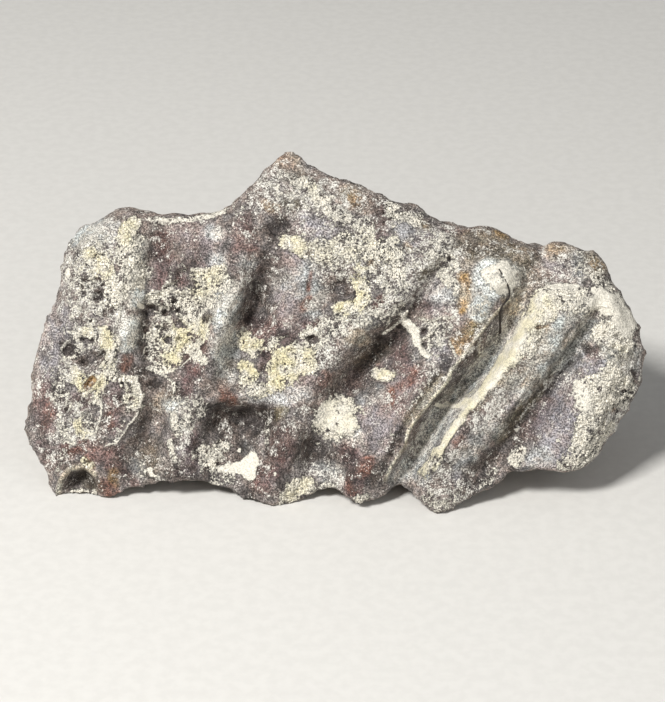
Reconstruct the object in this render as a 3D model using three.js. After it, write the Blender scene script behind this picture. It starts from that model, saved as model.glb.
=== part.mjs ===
// Fossil amphibian scute: one broken piece of ridged and pitted dermal armour bone.
// Millimetres, +Z up. The sculptured face leans back and looks along -Y; the smooth inner
// side of the bone is at +Y. The origin is the middle of the bounding box, at floor level.
//
// The face is surveyed in its own coordinates, written [across, up, height]:
//   across  to the right along the face,
//   up      along the slope of the face from the lowest tip of the fragment,
//   height  out of the plane of the face, so crests are positive and grooves negative.

import * as THREE from "three";
import { mergeVertices } from "three/addons/utils/BufferGeometryUtils.js";

// Driving dimensions
const FACE_LEAN = THREE.MathUtils.degToRad(30); // how far the face leans back from upright
const FACE_TURN = 0.06; // rise of the face plane toward its right end, per mm across
const TURN_AXIS = 10; // where across the face that rise is zero
const BACK_Y = 21.5; // depth of the inner side behind the lowest tip
const BACK_SWELL = 1.4; // how far the inner side bulges out at its middle
const BASE_WEAR = 0.3; // height worn flat wherever the fragment touches the floor
const BASE_ARCH = 1.3; // clearance under the hollow middle of the base
const HEEL_LIFT = 0.7; // how far the two ends of the heel clear the floor
const HEEL_HALF = 15; // half of the length of the heel that bears on the floor
const BREAK_ROUGHNESS = 0.45; // relief of the broken edges
const INNER_ROUGHNESS = 0.22; // relief of the inner side

// Mesh density
const CELLS_ACROSS = 90; // with CELLS_UP, sets cell diagonals that run along the ridges
const CELLS_UP = 32; // both counts are even, because the inner side has cells twice as large
const DEPTH_ROWS = [0, 0.08, 0.32, 0.6, 0.86, 1]; // from the face to the inner side
const ARCH_ROWS = [0, 0.1, 0.8, 0.9, 0, 0]; // share of BASE_ARCH at each depth row

// Survey
const STATION_SPACING = 1.0; // mm between interpolation points along a survey line
const STATION_GAP = 0.45; // points closer together than this count once
const SHEET_SOFTNESS = 0.5; // rounding of the sheet at each point, mm

// Margins of the face, which meet at its four corners. The upper and lower ones run left to
// right, the other two bottom to top.
const UPPER_MARGIN = [
  [-27.3, 27.3, -1.6], [-26.7, 28.4, -1.8], [-25.6, 29.3, -1.6], [-23.8, 30.1, -1.4],
  [-22.1, 31.1, -1.2], [-21.1, 31.3, -0.8], [-19.4, 30.8, -0.2], [-17.7, 30.6, -0.2],
  [-15.7, 30.4, -0.4], [-13.6, 30.5, -0.4], [-12.3, 30.7, -0.3], [-10.9, 31.1, -0.2],
  [-9.9, 31.9, -0.3], [-8.6, 33.2, -0.4], [-7.3, 34.5, -0.6], [-5.9, 36.2, -1.1],
  [-4.9, 37.2, -1.4], [-3.5, 36.5, -1.4], [-2.4, 35.5, -1.2], [-1.2, 35.0, -0.9],
  [-0.2, 34.4, -0.8], [1.3, 33.7, -0.8], [2.7, 33.0, -0.8], [4.7, 32.3, -0.8],
  [6.2, 31.5, -0.7], [8.0, 31.1, -0.6], [8.8, 30.5, -0.6], [10.3, 29.6, -0.5],
  [12.2, 29.0, -0.4], [13.3, 29.1, -0.5], [15.3, 29.2, -0.7], [16.4, 28.8, -0.8],
  [18.0, 28.0, -0.8], [19.0, 27.4, -0.9], [20.8, 26.8, -1.2], [21.3, 27.3, -1.3],
  [22.3, 27.6, -1.4], [23.7, 27.3, -1.5], [24.7, 26.9, -1.5], [25.8, 26.7, -1.6],
  [26.7, 26.1, -1.7], [27.3, 25.1, -1.8],
];
const LOWER_MARGIN = [
  [-28.6, 1.6, -0.8], [-26.8, 1.9, -0.6], [-25.6, 2.1, -0.4], [-24.2, 1.8, -0.4],
  [-23.0, 1.6, -0.2], [-22.0, 2.1, -0.2], [-20.4, 2.8, -0.2], [-18.7, 3.0, -0.4],
  [-17.4, 3.4, 0.0], [-15.6, 3.5, 0.2], [-13.6, 3.5, -0.1], [-12.3, 2.9, -0.6],
  [-10.6, 2.8, -0.9], [-9.8, 2.0, -0.9], [-8.3, 1.5, -0.5], [-7.1, 1.3, 0.0],
  [-6.4, 0.8, 0.0], [-4.9, 1.0, -0.4], [-3.3, 1.5, -0.9], [-1.8, 2.4, -1.0],
  [-0.2, 2.8, -0.7], [0.5, 2.4, -0.1], [1.3, 1.7, 0.2], [2.3, 1.3, 0.2],
  [3.7, 1.7, -0.2], [5.2, 2.2, -0.7], [6.3, 3.3, -1.2], [7.7, 2.3, -0.5],
  [8.7, 1.3, 0.0], [9.7, 0.4, 0.1], [10.4, 0.0, 0.1], [12.0, 0.9, -0.2],
  [13.0, 1.6, -0.4], [14.3, 2.3, -0.6], [16.2, 3.1, -1.0], [17.1, 4.4, -1.0],
  [18.3, 4.6, -0.7], [21.3, 4.8, -0.4], [24.0, 4.6, -0.8], [25.3, 5.1, -1.2],
  [26.2, 5.9, -1.6],
];
const LEFT_MARGIN = [
  [-28.6, 1.6, -0.8], [-29.4, 4.3, -1.2], [-30.6, 6.4, -1.4], [-31.3, 7.7, -1.5],
  [-31.6, 9.0, -1.5], [-31.3, 10.4, -1.5], [-30.9, 11.8, -1.6], [-30.8, 13.4, -1.6],
  [-30.7, 15.1, -1.6], [-30.3, 16.8, -1.6], [-29.7, 19.0, -1.6], [-29.0, 20.4, -1.6],
  [-28.5, 21.9, -1.6], [-28.1, 23.6, -1.6], [-27.9, 25.3, -1.6], [-27.3, 27.3, -1.6],
];
const RIGHT_MARGIN = [
  [26.2, 5.9, -1.6], [26.8, 7.0, -2.0], [27.3, 7.9, -2.2], [28.0, 8.3, -2.3],
  [28.3, 9.3, -2.4], [29.3, 10.4, -2.4], [29.9, 11.6, -2.4], [30.7, 13.1, -2.2],
  [30.9, 14.4, -2.1], [30.9, 15.8, -1.8], [31.2, 16.5, -1.7], [30.8, 17.6, -1.6],
  [30.4, 19.0, -1.4], [29.8, 20.3, -1.2], [29.1, 21.5, -1.2], [28.9, 22.5, -1.4],
  [28.4, 23.2, -1.5], [27.7, 23.6, -1.6], [27.3, 25.1, -1.8],
];

// Survey lines, from the right end of the fragment to the left. Ridges are lettered A to E.
const RIDGE_LINES = [
  // plateau at the right end, its worn margin and its slope down to the groove
  [[26.5, 22.8, 0.6], [27.7, 21.3, 0.8], [27.7, 18.8, 0.9], [27.0, 16.3, 1.1],
    [26.5, 13.3, 1.2], [25.7, 10.8, 1.1], [24.7, 8.3, 0.8], [23.7, 6.3, 0.2]],
  [[29.7, 17.3, -0.4], [29.5, 14.3, -0.6], [28.5, 11.8, -0.8], [27.1, 8.8, -0.9], [26.0, 6.8, -0.9]],
  [[25.3, 17.3, 0.6], [24.0, 14.6, 0.4], [22.7, 11.8, 0.2], [21.3, 9.3, 0.1], [20.0, 7.3, 0.1],
    [18.5, 5.8, -0.1]],
  // ridge A: right shoulder, body and sharp left crest
  [[25.0, 20.8, 1.3], [23.0, 17.8, 1.3], [21.0, 15.0, 1.2], [18.7, 12.3, 1.1], [16.5, 9.6, 1.0],
    [14.3, 7.0, 0.8], [12.7, 4.3, 0.5], [11.3, 1.8, 0.2]],
  [[21.0, 19.3, 2.0], [18.5, 15.6, 1.9], [16.0, 12.3, 1.7], [13.5, 9.0, 1.5], [11.5, 5.6, 1.2],
    [10.2, 2.3, 0.6]],
  [[22.7, 22.6, 1.6], [21.1, 21.8, 1.9], [19.6, 19.6, 2.0], [18.1, 17.3, 2.0], [16.5, 15.1, 2.0],
    [14.9, 13.1, 1.9], [13.1, 11.4, 1.7], [11.6, 9.3, 1.6], [10.3, 7.1, 1.4], [9.0, 4.8, 1.0],
    [8.3, 3.2, 0.5]],
  // ridge B: lip over the groove, crest from the knob down, left slope
  [[19.0, 23.3, 1.3], [17.7, 21.8, 1.6], [15.2, 18.2, 1.5], [13.2, 15.2, 1.4], [11.2, 13.1, 1.3],
    [9.3, 11.2, 1.3], [7.7, 9.0, 1.2], [6.9, 6.8, 0.9], [5.5, 4.8, 0.5]],
  [[16.5, 25.0, 2.1], [15.3, 22.8, 2.2], [13.5, 20.0, 2.1], [11.7, 17.3, 2.0], [9.9, 15.0, 1.9],
    [7.9, 12.8, 1.9], [6.3, 10.3, 1.7], [4.9, 7.8, 1.5], [3.7, 5.6, 1.3], [2.5, 3.3, 0.9]],
  [[12.0, 22.8, 1.7], [10.5, 20.3, 1.5], [9.0, 18.3, 1.2], [7.7, 16.0, 1.0], [6.5, 13.8, 0.9],
    [5.3, 11.3, 0.8], [3.9, 9.0, 0.9], [2.7, 7.0, 0.9], [1.7, 4.8, 0.7]],
  // ridge C: lip, crest, and the bank of the trough at its upper end
  [[10.5, 26.3, 1.6], [8.5, 23.6, 1.5], [6.7, 21.2, 1.4], [5.0, 19.6, 1.3], [3.3, 18.7, 1.2],
    [1.7, 17.1, 1.2], [0.3, 15.6, 1.1], [-0.7, 14.0, 1.1], [-2.0, 12.3, 1.0], [-3.0, 10.3, 0.9],
    [-3.8, 7.8, 0.8], [-4.7, 5.3, 0.7], [-5.5, 3.0, 0.4]],
  [[6.0, 23.8, 1.9], [3.7, 21.8, 1.9], [1.5, 20.0, 1.8], [-0.5, 18.0, 1.7], [-1.7, 15.6, 1.5],
    [-3.5, 13.3, 1.4], [-4.3, 11.3, 1.3], [-5.1, 8.8, 1.2], [-5.8, 6.3, 1.1], [-6.5, 3.8, 0.8]],
  [[12.0, 24.3, 1.5], [10.8, 22.6, 1.4], [9.5, 20.8, 1.2], [8.3, 19.3, 0.9]],
  // short middle ridge, its right side and the saddle below it
  [[-2.5, 27.8, 1.4], [-3.7, 25.6, 1.3], [-4.3, 23.3, 1.3], [-4.7, 20.8, 1.2], [-5.1, 18.6, 0.9]],
  [[-2.0, 23.3, 1.0], [-2.2, 21.3, 0.7], [-2.7, 19.3, 0.3]],
  [[-6.5, 16.0, 0.4], [-5.0, 16.8, 0.6], [-3.5, 16.8, 0.8], [-2.0, 16.6, 1.1]],
  [[-7.0, 14.3, 0.5], [-5.0, 14.6, 0.9], [-3.0, 14.6, 1.2]],
  // ridge D: crest, lower right flank and lower left step
  [[-10.7, 29.6, 1.4], [-9.5, 27.3, 1.6], [-9.2, 25.0, 1.7], [-9.7, 22.8, 1.7], [-10.7, 20.6, 1.6],
    [-11.8, 18.3, 1.5], [-12.5, 16.0, 1.4], [-13.2, 13.6, 1.3], [-14.0, 11.3, 1.2],
    [-14.9, 8.8, 1.1], [-15.5, 6.3, 0.9]],
  [[-13.2, 9.8, 0.3], [-13.7, 7.3, 0.2], [-14.0, 5.0, 0.1]],
  [[-16.3, 11.6, 0.9], [-16.3, 9.3, 0.8], [-16.5, 6.8, 0.6], [-16.7, 4.6, 0.2]],
  // cross bars: between ridges D and C, and between ridges E and D
  [[-12.3, 12.2, 1.0], [-10.7, 12.0, 0.8], [-9.0, 12.1, 0.7], [-7.0, 12.0, 0.8], [-5.2, 11.6, 1.1]],
  [[-20.0, 14.0, 0.5], [-17.5, 12.8, 0.6], [-15.5, 13.0, 0.8]],
  // ridge E: crest, right flank, and the leaf-shaped flake that spreads from its foot
  [[-19.7, 29.6, 0.9], [-20.1, 27.3, 1.2], [-20.8, 25.0, 1.4], [-21.3, 22.6, 1.4],
    [-21.6, 20.2, 1.4], [-22.0, 17.6, 1.4], [-22.6, 14.8, 1.4], [-23.1, 12.2, 1.3], [-23.6, 9.8, 1.1]],
  [[-20.1, 23.8, 0.6], [-20.2, 21.3, 0.4], [-20.4, 18.8, 0.4], [-20.8, 16.6, 0.5]],
  [[-21.3, 13.8, 0.9], [-20.3, 12.8, 0.9], [-19.3, 11.6, 0.7], [-19.7, 9.8, 0.6], [-21.1, 8.0, 0.6],
    [-23.0, 6.9, 0.6]],
  [[-21.7, 10.3, 0.9]],
  // flat field at the left end, its outer slope, and the bevelled upper left corner
  [[-23.5, 27.3, 1.0], [-24.0, 24.8, 1.1], [-24.3, 21.8, 1.0], [-24.7, 19.3, 1.0],
    [-25.0, 15.8, 0.9], [-25.3, 12.3, 1.0], [-25.5, 9.3, 0.9]],
  [[-26.3, 25.6, 0.2], [-26.7, 22.8, 0.4], [-27.1, 19.8, 0.4], [-28.0, 16.8, 0.3],
    [-28.5, 13.8, 0.2], [-28.7, 10.8, 0.2], [-29.0, 8.3, -0.2]],
  [[-25.2, 27.8, 0.7], [-23.5, 28.8, 0.7], [-22.3, 27.8, 0.9], [-21.0, 29.6, 0.9]],
  [[-25.7, 28.6, -0.9], [-24.0, 29.5, -0.6], [-22.3, 30.2, -0.2]],
  // lower left foot, with the rim of the small arched cavity in it
  [[-27.3, 7.1, 0.3], [-25.5, 6.9, 0.4], [-23.7, 6.6, 0.4]],
  [[-27.5, 5.6, 0.0], [-25.7, 5.8, 0.1]],
  [[-27.7, 3.3, 0.0], [-27.2, 4.6, 0.1], [-26.0, 5.3, 0.1], [-24.5, 5.0, 0.2], [-23.8, 3.6, 0.2]],
  [[-22.5, 3.8, 0.3], [-21.7, 5.3, 0.1]],
  // peak and the broad shoulder that runs from it to the right
  [[-4.8, 35.3, -0.3], [-5.0, 33.8, 0.4]],
  [[-7.0, 33.0, 0.3], [-8.5, 31.3, 0.7]],
  [[-6.0, 31.3, 0.9], [-3.5, 31.3, 1.1]],
  [[-3.0, 33.3, 0.4], [-1.0, 32.3, 0.7], [1.5, 31.3, 0.6], [4.5, 30.3, 0.8], [7.0, 29.0, 0.9],
    [9.0, 27.8, 1.0], [11.5, 27.5, 0.9]],
  [[-4.0, 29.0, 1.0], [-1.7, 29.3, 1.3], [-0.5, 30.3, 1.3], [2.0, 28.8, 1.4], [4.0, 27.3, 1.6],
    [7.5, 26.3, 1.6]],
  [[0.5, 26.8, 1.6]],
  // upper right rim and the foot of its step
  [[13.5, 27.3, 0.8], [15.0, 26.8, 1.2], [17.0, 26.6, 1.0], [19.0, 26.0, 0.6], [20.0, 24.3, 0.6]],
  [[21.5, 24.8, 0.2], [23.7, 25.6, -0.3], [25.5, 25.0, -0.4], [26.3, 23.6, 0.0]],
  [[24.5, 23.8, 0.4], [22.5, 23.4, 0.9], [20.5, 23.3, 1.1]],
  // shelf above the wide pit, and the banks of that pit
  [[-18.3, 28.3, 0.3], [-16.0, 27.8, 0.8], [-13.5, 27.8, 1.0], [-12.0, 29.3, 0.9]],
  [[-17.5, 24.3, 0.2], [-16.5, 25.6, 0.7], [-14.5, 25.0, 0.8]],
  [[-13.0, 23.8, 0.6], [-13.0, 21.3, 0.2], [-13.5, 18.8, -0.2]],
];
const GROOVE_LINES = [
  // groove between the right plateau and ridge A
  [[26.3, 20.6, 0.3], [25.0, 18.3, -0.2], [23.3, 15.6, -0.5], [21.5, 13.3, -0.8], [19.7, 10.8, -0.9],
    [17.8, 8.3, -1.0], [16.0, 6.3, -1.1], [15.0, 4.8, -1.1]],
  // groove between ridges A and B: right side of its floor, then its deepest line
  [[19.7, 21.3, 0.9], [18.3, 19.0, 0.5], [16.8, 16.8, 0.1], [15.3, 14.8, -0.2], [13.7, 13.1, -0.4],
    [12.0, 11.5, -0.5], [10.5, 9.3, -0.5], [9.2, 7.1, -0.6], [8.0, 5.0, -0.6]],
  [[18.3, 20.6, 0.3], [16.1, 17.5, -0.5], [14.1, 14.6, -1.0], [12.2, 12.4, -1.2], [10.2, 10.4, -1.3],
    [8.6, 8.3, -1.3], [7.8, 6.2, -1.2], [6.7, 4.4, -1.0]],
  // groove between ridges B and C: right side, deepest line, and the choked pit below it
  [[7.0, 18.8, 0.0], [6.3, 16.6, -0.4], [4.9, 14.4, -0.6], [3.5, 12.3, -0.5], [2.7, 10.6, 0.0]],
  [[6.3, 18.8, -0.6], [4.5, 17.3, -1.5], [2.9, 15.6, -1.9], [1.7, 13.6, -1.8], [0.7, 12.0, -1.2]],
  [[0.5, 11.0, -0.1], [-0.7, 9.8, -0.1], [-0.3, 8.4, -0.1], [1.5, 8.8, -0.1]],
  [[-1.7, 7.6, -1.1], [-2.3, 6.3, -1.5], [-2.5, 4.8, -1.3], [-2.3, 3.0, -1.1]],
  [[-0.3, 6.3, -0.7], [-0.7, 4.3, -0.9]],
  // trough at the upper end of ridge C, and the shallow hollow on its crest
  [[11.3, 25.6, 0.9], [10.1, 24.2, 0.7], [8.9, 22.5, 0.4], [7.7, 20.8, 0.1]],
  [[0.5, 23.0, 0.7]],
  // long groove to the right of ridge D
  [[-5.6, 29.4, 0.5], [-6.3, 27.5, 0.6], [-7.0, 25.2, 0.0], [-7.6, 22.8, -0.8], [-8.3, 20.8, -1.3],
    [-9.2, 19.2, -1.2], [-9.9, 17.6, -0.9], [-10.3, 15.6, -0.7], [-10.7, 13.5, -0.3]],
  [[-7.3, 18.8, -0.4], [-6.0, 17.3, 0.2]],
  [[-8.5, 17.6, -0.6], [-9.2, 15.0, -0.3], [-8.5, 13.3, 0.2]],
  // deep pit under the cross bar, in four levels down to the lower margin
  [[-11.3, 10.6, -0.9], [-9.5, 10.6, -1.2], [-7.7, 10.4, -1.0]],
  [[-12.0, 8.8, -1.2], [-10.0, 9.0, -1.7], [-8.0, 8.6, -1.2]],
  [[-12.5, 6.3, -0.7], [-10.5, 6.6, -1.1], [-8.5, 6.3, -0.8]],
  [[-11.3, 4.3, -0.7], [-9.0, 4.0, -0.5]],
  [[-6.7, 6.8, 0.4], [-7.2, 4.3, 0.2]],
  // groove between ridges E and D below the cross bar
  [[-18.3, 13.4, 0.2], [-18.0, 11.3, -0.4], [-18.4, 9.0, -0.8], [-19.4, 6.8, -0.7], [-19.5, 4.3, -0.4]],
  [[-17.4, 7.8, 0.1], [-18.0, 5.3, -0.1]],
  // wide pit between ridges E and D: steep left wall, floor and rising right side
  [[-18.9, 25.6, 0.2], [-18.9, 23.3, -0.2], [-18.9, 21.0, -0.8], [-18.8, 18.8, -1.0],
    [-18.7, 16.6, -0.9], [-18.5, 14.8, -0.5]],
  [[-17.0, 22.8, -0.2], [-17.0, 20.6, -1.0], [-17.0, 18.3, -1.1], [-16.5, 16.3, -0.8]],
  [[-15.0, 21.8, -0.5], [-15.0, 19.8, -0.8], [-15.0, 17.3, -0.8]],
  [[-18.0, 26.8, 0.2]],
  // small arched cavity in the lower left foot
  [[-26.3, 3.6, -1.2], [-25.3, 3.8, -1.4], [-24.7, 3.0, -1.0]],
];

// Rim of the inner side of the bone, written [x, z], with a corner behind each corner of the
// face. It is smaller than the face, so that the broken edges slope inward behind the margin.
const INNER_TOP = [
  [-24.5, 19.5], [-20.5, 21.5], [-15.0, 21.0], [-10.0, 22.5], [-5.0, 26.5], [0.0, 25.0],
  [6.0, 22.5], [11.0, 20.5], [17.0, 19.5], [20.5, 17.8], [24.5, 16.5],
];
const INNER_BASE = [[-22.5, 0.0], [23.0, 0.0]];
const INNER_LEFT = [[-22.5, 0.0], [-25.5, 5.0], [-26.5, 10.0], [-26.0, 15.0], [-24.5, 19.5]];
const INNER_RIGHT = [[23.0, 0.0], [25.5, 4.0], [27.0, 9.0], [26.5, 13.0], [24.5, 16.5]];

// Points spaced evenly along a survey line, its own stations included.
function pointsAlong(line) {
  const points = [line[0]];
  for (let i = 1; i < line.length; i += 1) {
    const [from, to] = [line[i - 1], line[i]];
    const steps = Math.max(1, Math.round(Math.hypot(to[0] - from[0], to[1] - from[1]) / STATION_SPACING));
    for (let step = 1; step <= steps; step += 1) {
      points.push(from.map((value, axis) => THREE.MathUtils.lerp(value, to[axis], step / steps)));
    }
  }
  return points;
}

// Every survey point once, margins first.
function surveyPoints() {
  const lines = [UPPER_MARGIN, LOWER_MARGIN, LEFT_MARGIN, RIGHT_MARGIN, ...RIDGE_LINES, ...GROOVE_LINES];
  const kept = [];
  for (const point of lines.flatMap(pointsAlong)) {
    const isNew = kept.every((other) => Math.hypot(other[0] - point[0], other[1] - point[1]) > STATION_GAP);
    if (isNew) {
      kept.push(point);
    }
  }
  return kept;
}

// Influence of a survey point at a distance: a cone whose tip is rounded off.
function influence(across, up, point) {
  return Math.hypot(across - point[0], up - point[1], SHEET_SOFTNESS);
}

// Solves matrix * answer = values by elimination with row exchange.
function solve(matrix, values) {
  const size = values.length;
  const rows = matrix.map((row, i) => Float64Array.from([...row, values[i]]));
  for (let column = 0; column < size; column += 1) {
    let pivot = column;
    for (let row = column + 1; row < size; row += 1) {
      if (Math.abs(rows[row][column]) > Math.abs(rows[pivot][column])) {
        pivot = row;
      }
    }
    [rows[column], rows[pivot]] = [rows[pivot], rows[column]];
    for (let row = column + 1; row < size; row += 1) {
      const factor = rows[row][column] / rows[column][column];
      for (let k = column; k <= size; k += 1) {
        rows[row][k] -= factor * rows[column][k];
      }
    }
  }
  const answer = new Float64Array(size);
  for (let row = size - 1; row >= 0; row -= 1) {
    let rest = rows[row][size];
    for (let k = row + 1; k < size; k += 1) {
      rest -= rows[row][k] * answer[k];
    }
    answer[row] = rest / rows[row][row];
  }
  return answer;
}

// A smooth sheet stretched through every survey point: height of the face at a place.
function stretchSheet() {
  const points = surveyPoints();
  const matrix = points.map((here) => points.map((point) => influence(here[0], here[1], point)));
  const weights = solve(matrix, points.map((point) => point[2]));
  return (across, up) =>
    points.reduce((height, point, i) => height + weights[i] * influence(across, up, point), 0);
}

// A line as a path that can be read at any share of its length.
function pathAlong(line) {
  return new THREE.Path(line.map(([x, y]) => new THREE.Vector2(x, y)));
}

// A patch spanned by four edges. Shares run from 0 to 1, left to right and bottom to top.
function spanEdges(...lines) {
  const [lower, upper, left, right] = lines.map(pathAlong);
  const corners = [lower.getPoint(0), lower.getPoint(1), upper.getPoint(0), upper.getPoint(1)];
  return (shareAcross, shareUp) => {
    const rails = lower.getPoint(shareAcross).lerp(upper.getPoint(shareAcross), shareUp);
    const rungs = left.getPoint(shareUp).lerp(right.getPoint(shareUp), shareAcross);
    const low = corners[0].clone().lerp(corners[1], shareAcross);
    const high = corners[2].clone().lerp(corners[3], shareAcross);
    return rails.add(rungs).sub(low.lerp(high, shareUp));
  };
}

// Repeatable number from -1 to 1 for a corner of the noise lattice.
function latticeValue(i, j, k) {
  const wave = Math.sin(i * 127.1 + j * 311.7 + k * 74.7) * 43758.5453;
  return 2 * (wave - Math.floor(wave)) - 1;
}

// Smooth noise from -1 to 1 with one swell per unit.
function noise(x, y, z) {
  const base = [x, y, z].map(Math.floor);
  const ease = [x, y, z].map((value, axis) => THREE.MathUtils.smoothstep(value - base[axis], 0, 1));
  let sum = 0;
  for (const [dx, dy, dz] of [0, 1, 2, 3, 4, 5, 6, 7].map((n) => [n & 1, (n >> 1) & 1, n >> 2])) {
    const weight = [dx, dy, dz].reduce((w, d, axis) => w * (d ? ease[axis] : 1 - ease[axis]), 1);
    sum += weight * latticeValue(base[0] + dx, base[1] + dy, base[2] + dz);
  }
  return sum;
}

// Place in space of a point of the sculptured face.
function facePoint(across, up, height) {
  const lift = height + FACE_TURN * (across - TURN_AXIS);
  return new THREE.Vector3(
    across,
    up * Math.sin(FACE_LEAN) - lift * Math.cos(FACE_LEAN),
    up * Math.cos(FACE_LEAN) + lift * Math.sin(FACE_LEAN),
  );
}

// Place in space of a point of the smooth inner side.
function innerPoint(x, z) {
  const swell = BACK_SWELL * (1 - (x / 30) ** 2) * Math.sin(Math.PI * THREE.MathUtils.clamp(z / 26, 0, 1));
  const grain = INNER_ROUGHNESS * noise(x / 3.5, 7, z / 6);
  return new THREE.Vector3(x, BACK_Y + swell + grain, z);
}

// Roughness of the broken edges, strongest halfway between the face and the inner side.
function breakRelief(point, depth) {
  const strength = BREAK_ROUGHNESS * Math.sin(Math.PI * depth);
  const coarse = new THREE.Vector3(
    noise(point.x / 4, point.y / 4, point.z / 4),
    noise(point.x / 4 + 31, point.y / 4, point.z / 4),
    noise(point.x / 4, point.y / 4 + 57, point.z / 4),
  );
  return coarse.multiplyScalar(2 * strength);
}

// Underside: an arch between the face's lower margin and the heel at the back.
function baseHeight(point, marginHeight, row) {
  const depth = DEPTH_ROWS[row];
  const slope = marginHeight * (1 - depth) ** 1.6;
  const lifted = THREE.MathUtils.smoothstep(Math.abs(point.x), HEEL_HALF, HEEL_HALF + 6);
  const arch = BASE_ARCH * ARCH_ROWS[row] * (1 + 0.4 * noise(point.x / 5, point.y / 5, 3));
  return slope + arch + HEEL_LIFT * lifted * depth;
}

// Grid points round the rim of the face, counterclockwise from its lower left corner.
function rimPoints() {
  const rim = [];
  for (let i = 0; i < CELLS_ACROSS; i += 1) {
    rim.push([i, 0]);
  }
  for (let j = 0; j < CELLS_UP; j += 1) {
    rim.push([CELLS_ACROSS, j]);
  }
  for (let i = CELLS_ACROSS; i > 0; i -= 1) {
    rim.push([i, CELLS_UP]);
  }
  for (let j = CELLS_UP; j > 0; j -= 1) {
    rim.push([0, j]);
  }
  return rim;
}

// A closed box whose points are [share across, share up, depth row]. Row 0 is the face.
function boxOfShares() {
  const last = DEPTH_ROWS.length - 1;
  const corners = [];
  const at = ([i, j], row) => [i / CELLS_ACROSS, j / CELLS_UP, row];
  const addQuad = (a, b, c, d) => corners.push(a, b, c, a, c, d);
  // the face, and the inner side in cells twice as large
  for (let i = 0; i < CELLS_ACROSS; i += 1) {
    for (let j = 0; j < CELLS_UP; j += 1) {
      addQuad(at([i, j], 0), at([i + 1, j], 0), at([i + 1, j + 1], 0), at([i, j + 1], 0));
      if (i % 2 === 0 && j % 2 === 0) {
        addQuad(at([i, j], last), at([i, j + 2], last), at([i + 2, j + 2], last), at([i + 2, j], last));
      }
    }
  }
  // the broken edges, whose last strip passes from small cells to large ones
  const rim = rimPoints();
  rim.forEach((here, n) => {
    const next = rim[(n + 1) % rim.length];
    const afterNext = rim[(n + 2) % rim.length];
    for (let row = 0; row < last - 1; row += 1) {
      addQuad(at(here, row), at(here, row + 1), at(next, row + 1), at(next, row));
    }
    if (n % 2 === 0) {
      const small = [here, next, afterNext].map((point) => at(point, last - 1));
      const large = [here, afterNext].map((point) => at(point, last));
      corners.push(small[0], large[0], small[1], small[1], large[0], large[1], small[1], large[1], small[2]);
    }
  });
  const box = new THREE.BufferGeometry();
  box.setAttribute("position", new THREE.Float32BufferAttribute(corners.flat(), 3));
  return mergeVertices(box);
}

// The whole fragment: a box whose near side becomes the face and far side the inner side.
function buildScute() {
  const sheet = stretchSheet();
  const face = spanEdges(LOWER_MARGIN, UPPER_MARGIN, LEFT_MARGIN, RIGHT_MARGIN);
  const inner = spanEdges(INNER_BASE, INNER_TOP, INNER_LEFT, INNER_RIGHT);
  const geometry = boxOfShares();
  const position = geometry.attributes.position;
  for (let i = 0; i < position.count; i += 1) {
    const shareAcross = position.getX(i);
    const shareUp = position.getY(i);
    const row = Math.round(position.getZ(i));
    const place = face(shareAcross, shareUp);
    const front = facePoint(place.x, place.y, sheet(place.x, place.y));
    const { x, y: z } = inner(shareAcross, shareUp);
    const back = innerPoint(x, z);
    const point = front.clone().lerp(back, DEPTH_ROWS[row]);
    point.add(breakRelief(point, DEPTH_ROWS[row]));
    if (z < 1e-6) {
      point.z = baseHeight(point, front.z, row);
    }
    position.setXYZ(i, point.x, point.y, Math.max(0, point.z - BASE_WEAR));
  }
  return geometry;
}

// Moves a geometry so that its bounding box is centred on the origin and stands on z = 0.
function standOnOrigin(geometry) {
  geometry.computeBoundingBox();
  const { min, max } = geometry.boundingBox;
  geometry.translate(-(min.x + max.x) / 2, -(min.y + max.y) / 2, -min.z);
  geometry.computeVertexNormals();
  return geometry;
}

const fossilBone = new THREE.MeshStandardMaterial({ color: 0x8c8079, roughness: 0.82, metalness: 0 });

const scute = new THREE.Mesh(standOnOrigin(buildScute()), fossilBone);
scute.name = "scute";

const fragment = new THREE.Group();
fragment.add(scute);

export default fragment;
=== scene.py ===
"""Fossil amphibian scute: a broken plate of ridged and pitted dermal armour bone.

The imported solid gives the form. This script refines a copy of it, cuts the small relief of the
ornamented face into it, colours it with brush strokes and builds one procedural material.
Work is in millimetres until a mesh is written; Blender's own units are metres.

Places on the ornamented face are written (across, up) in mm: across to the right from the
middle of the fragment, up along the slope of the face from its lowest tip. The five slanting
ridges are lettered A to E from the right.
"""

import math

import bmesh
import bpy
import numpy as np
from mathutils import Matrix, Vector, noise


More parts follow.
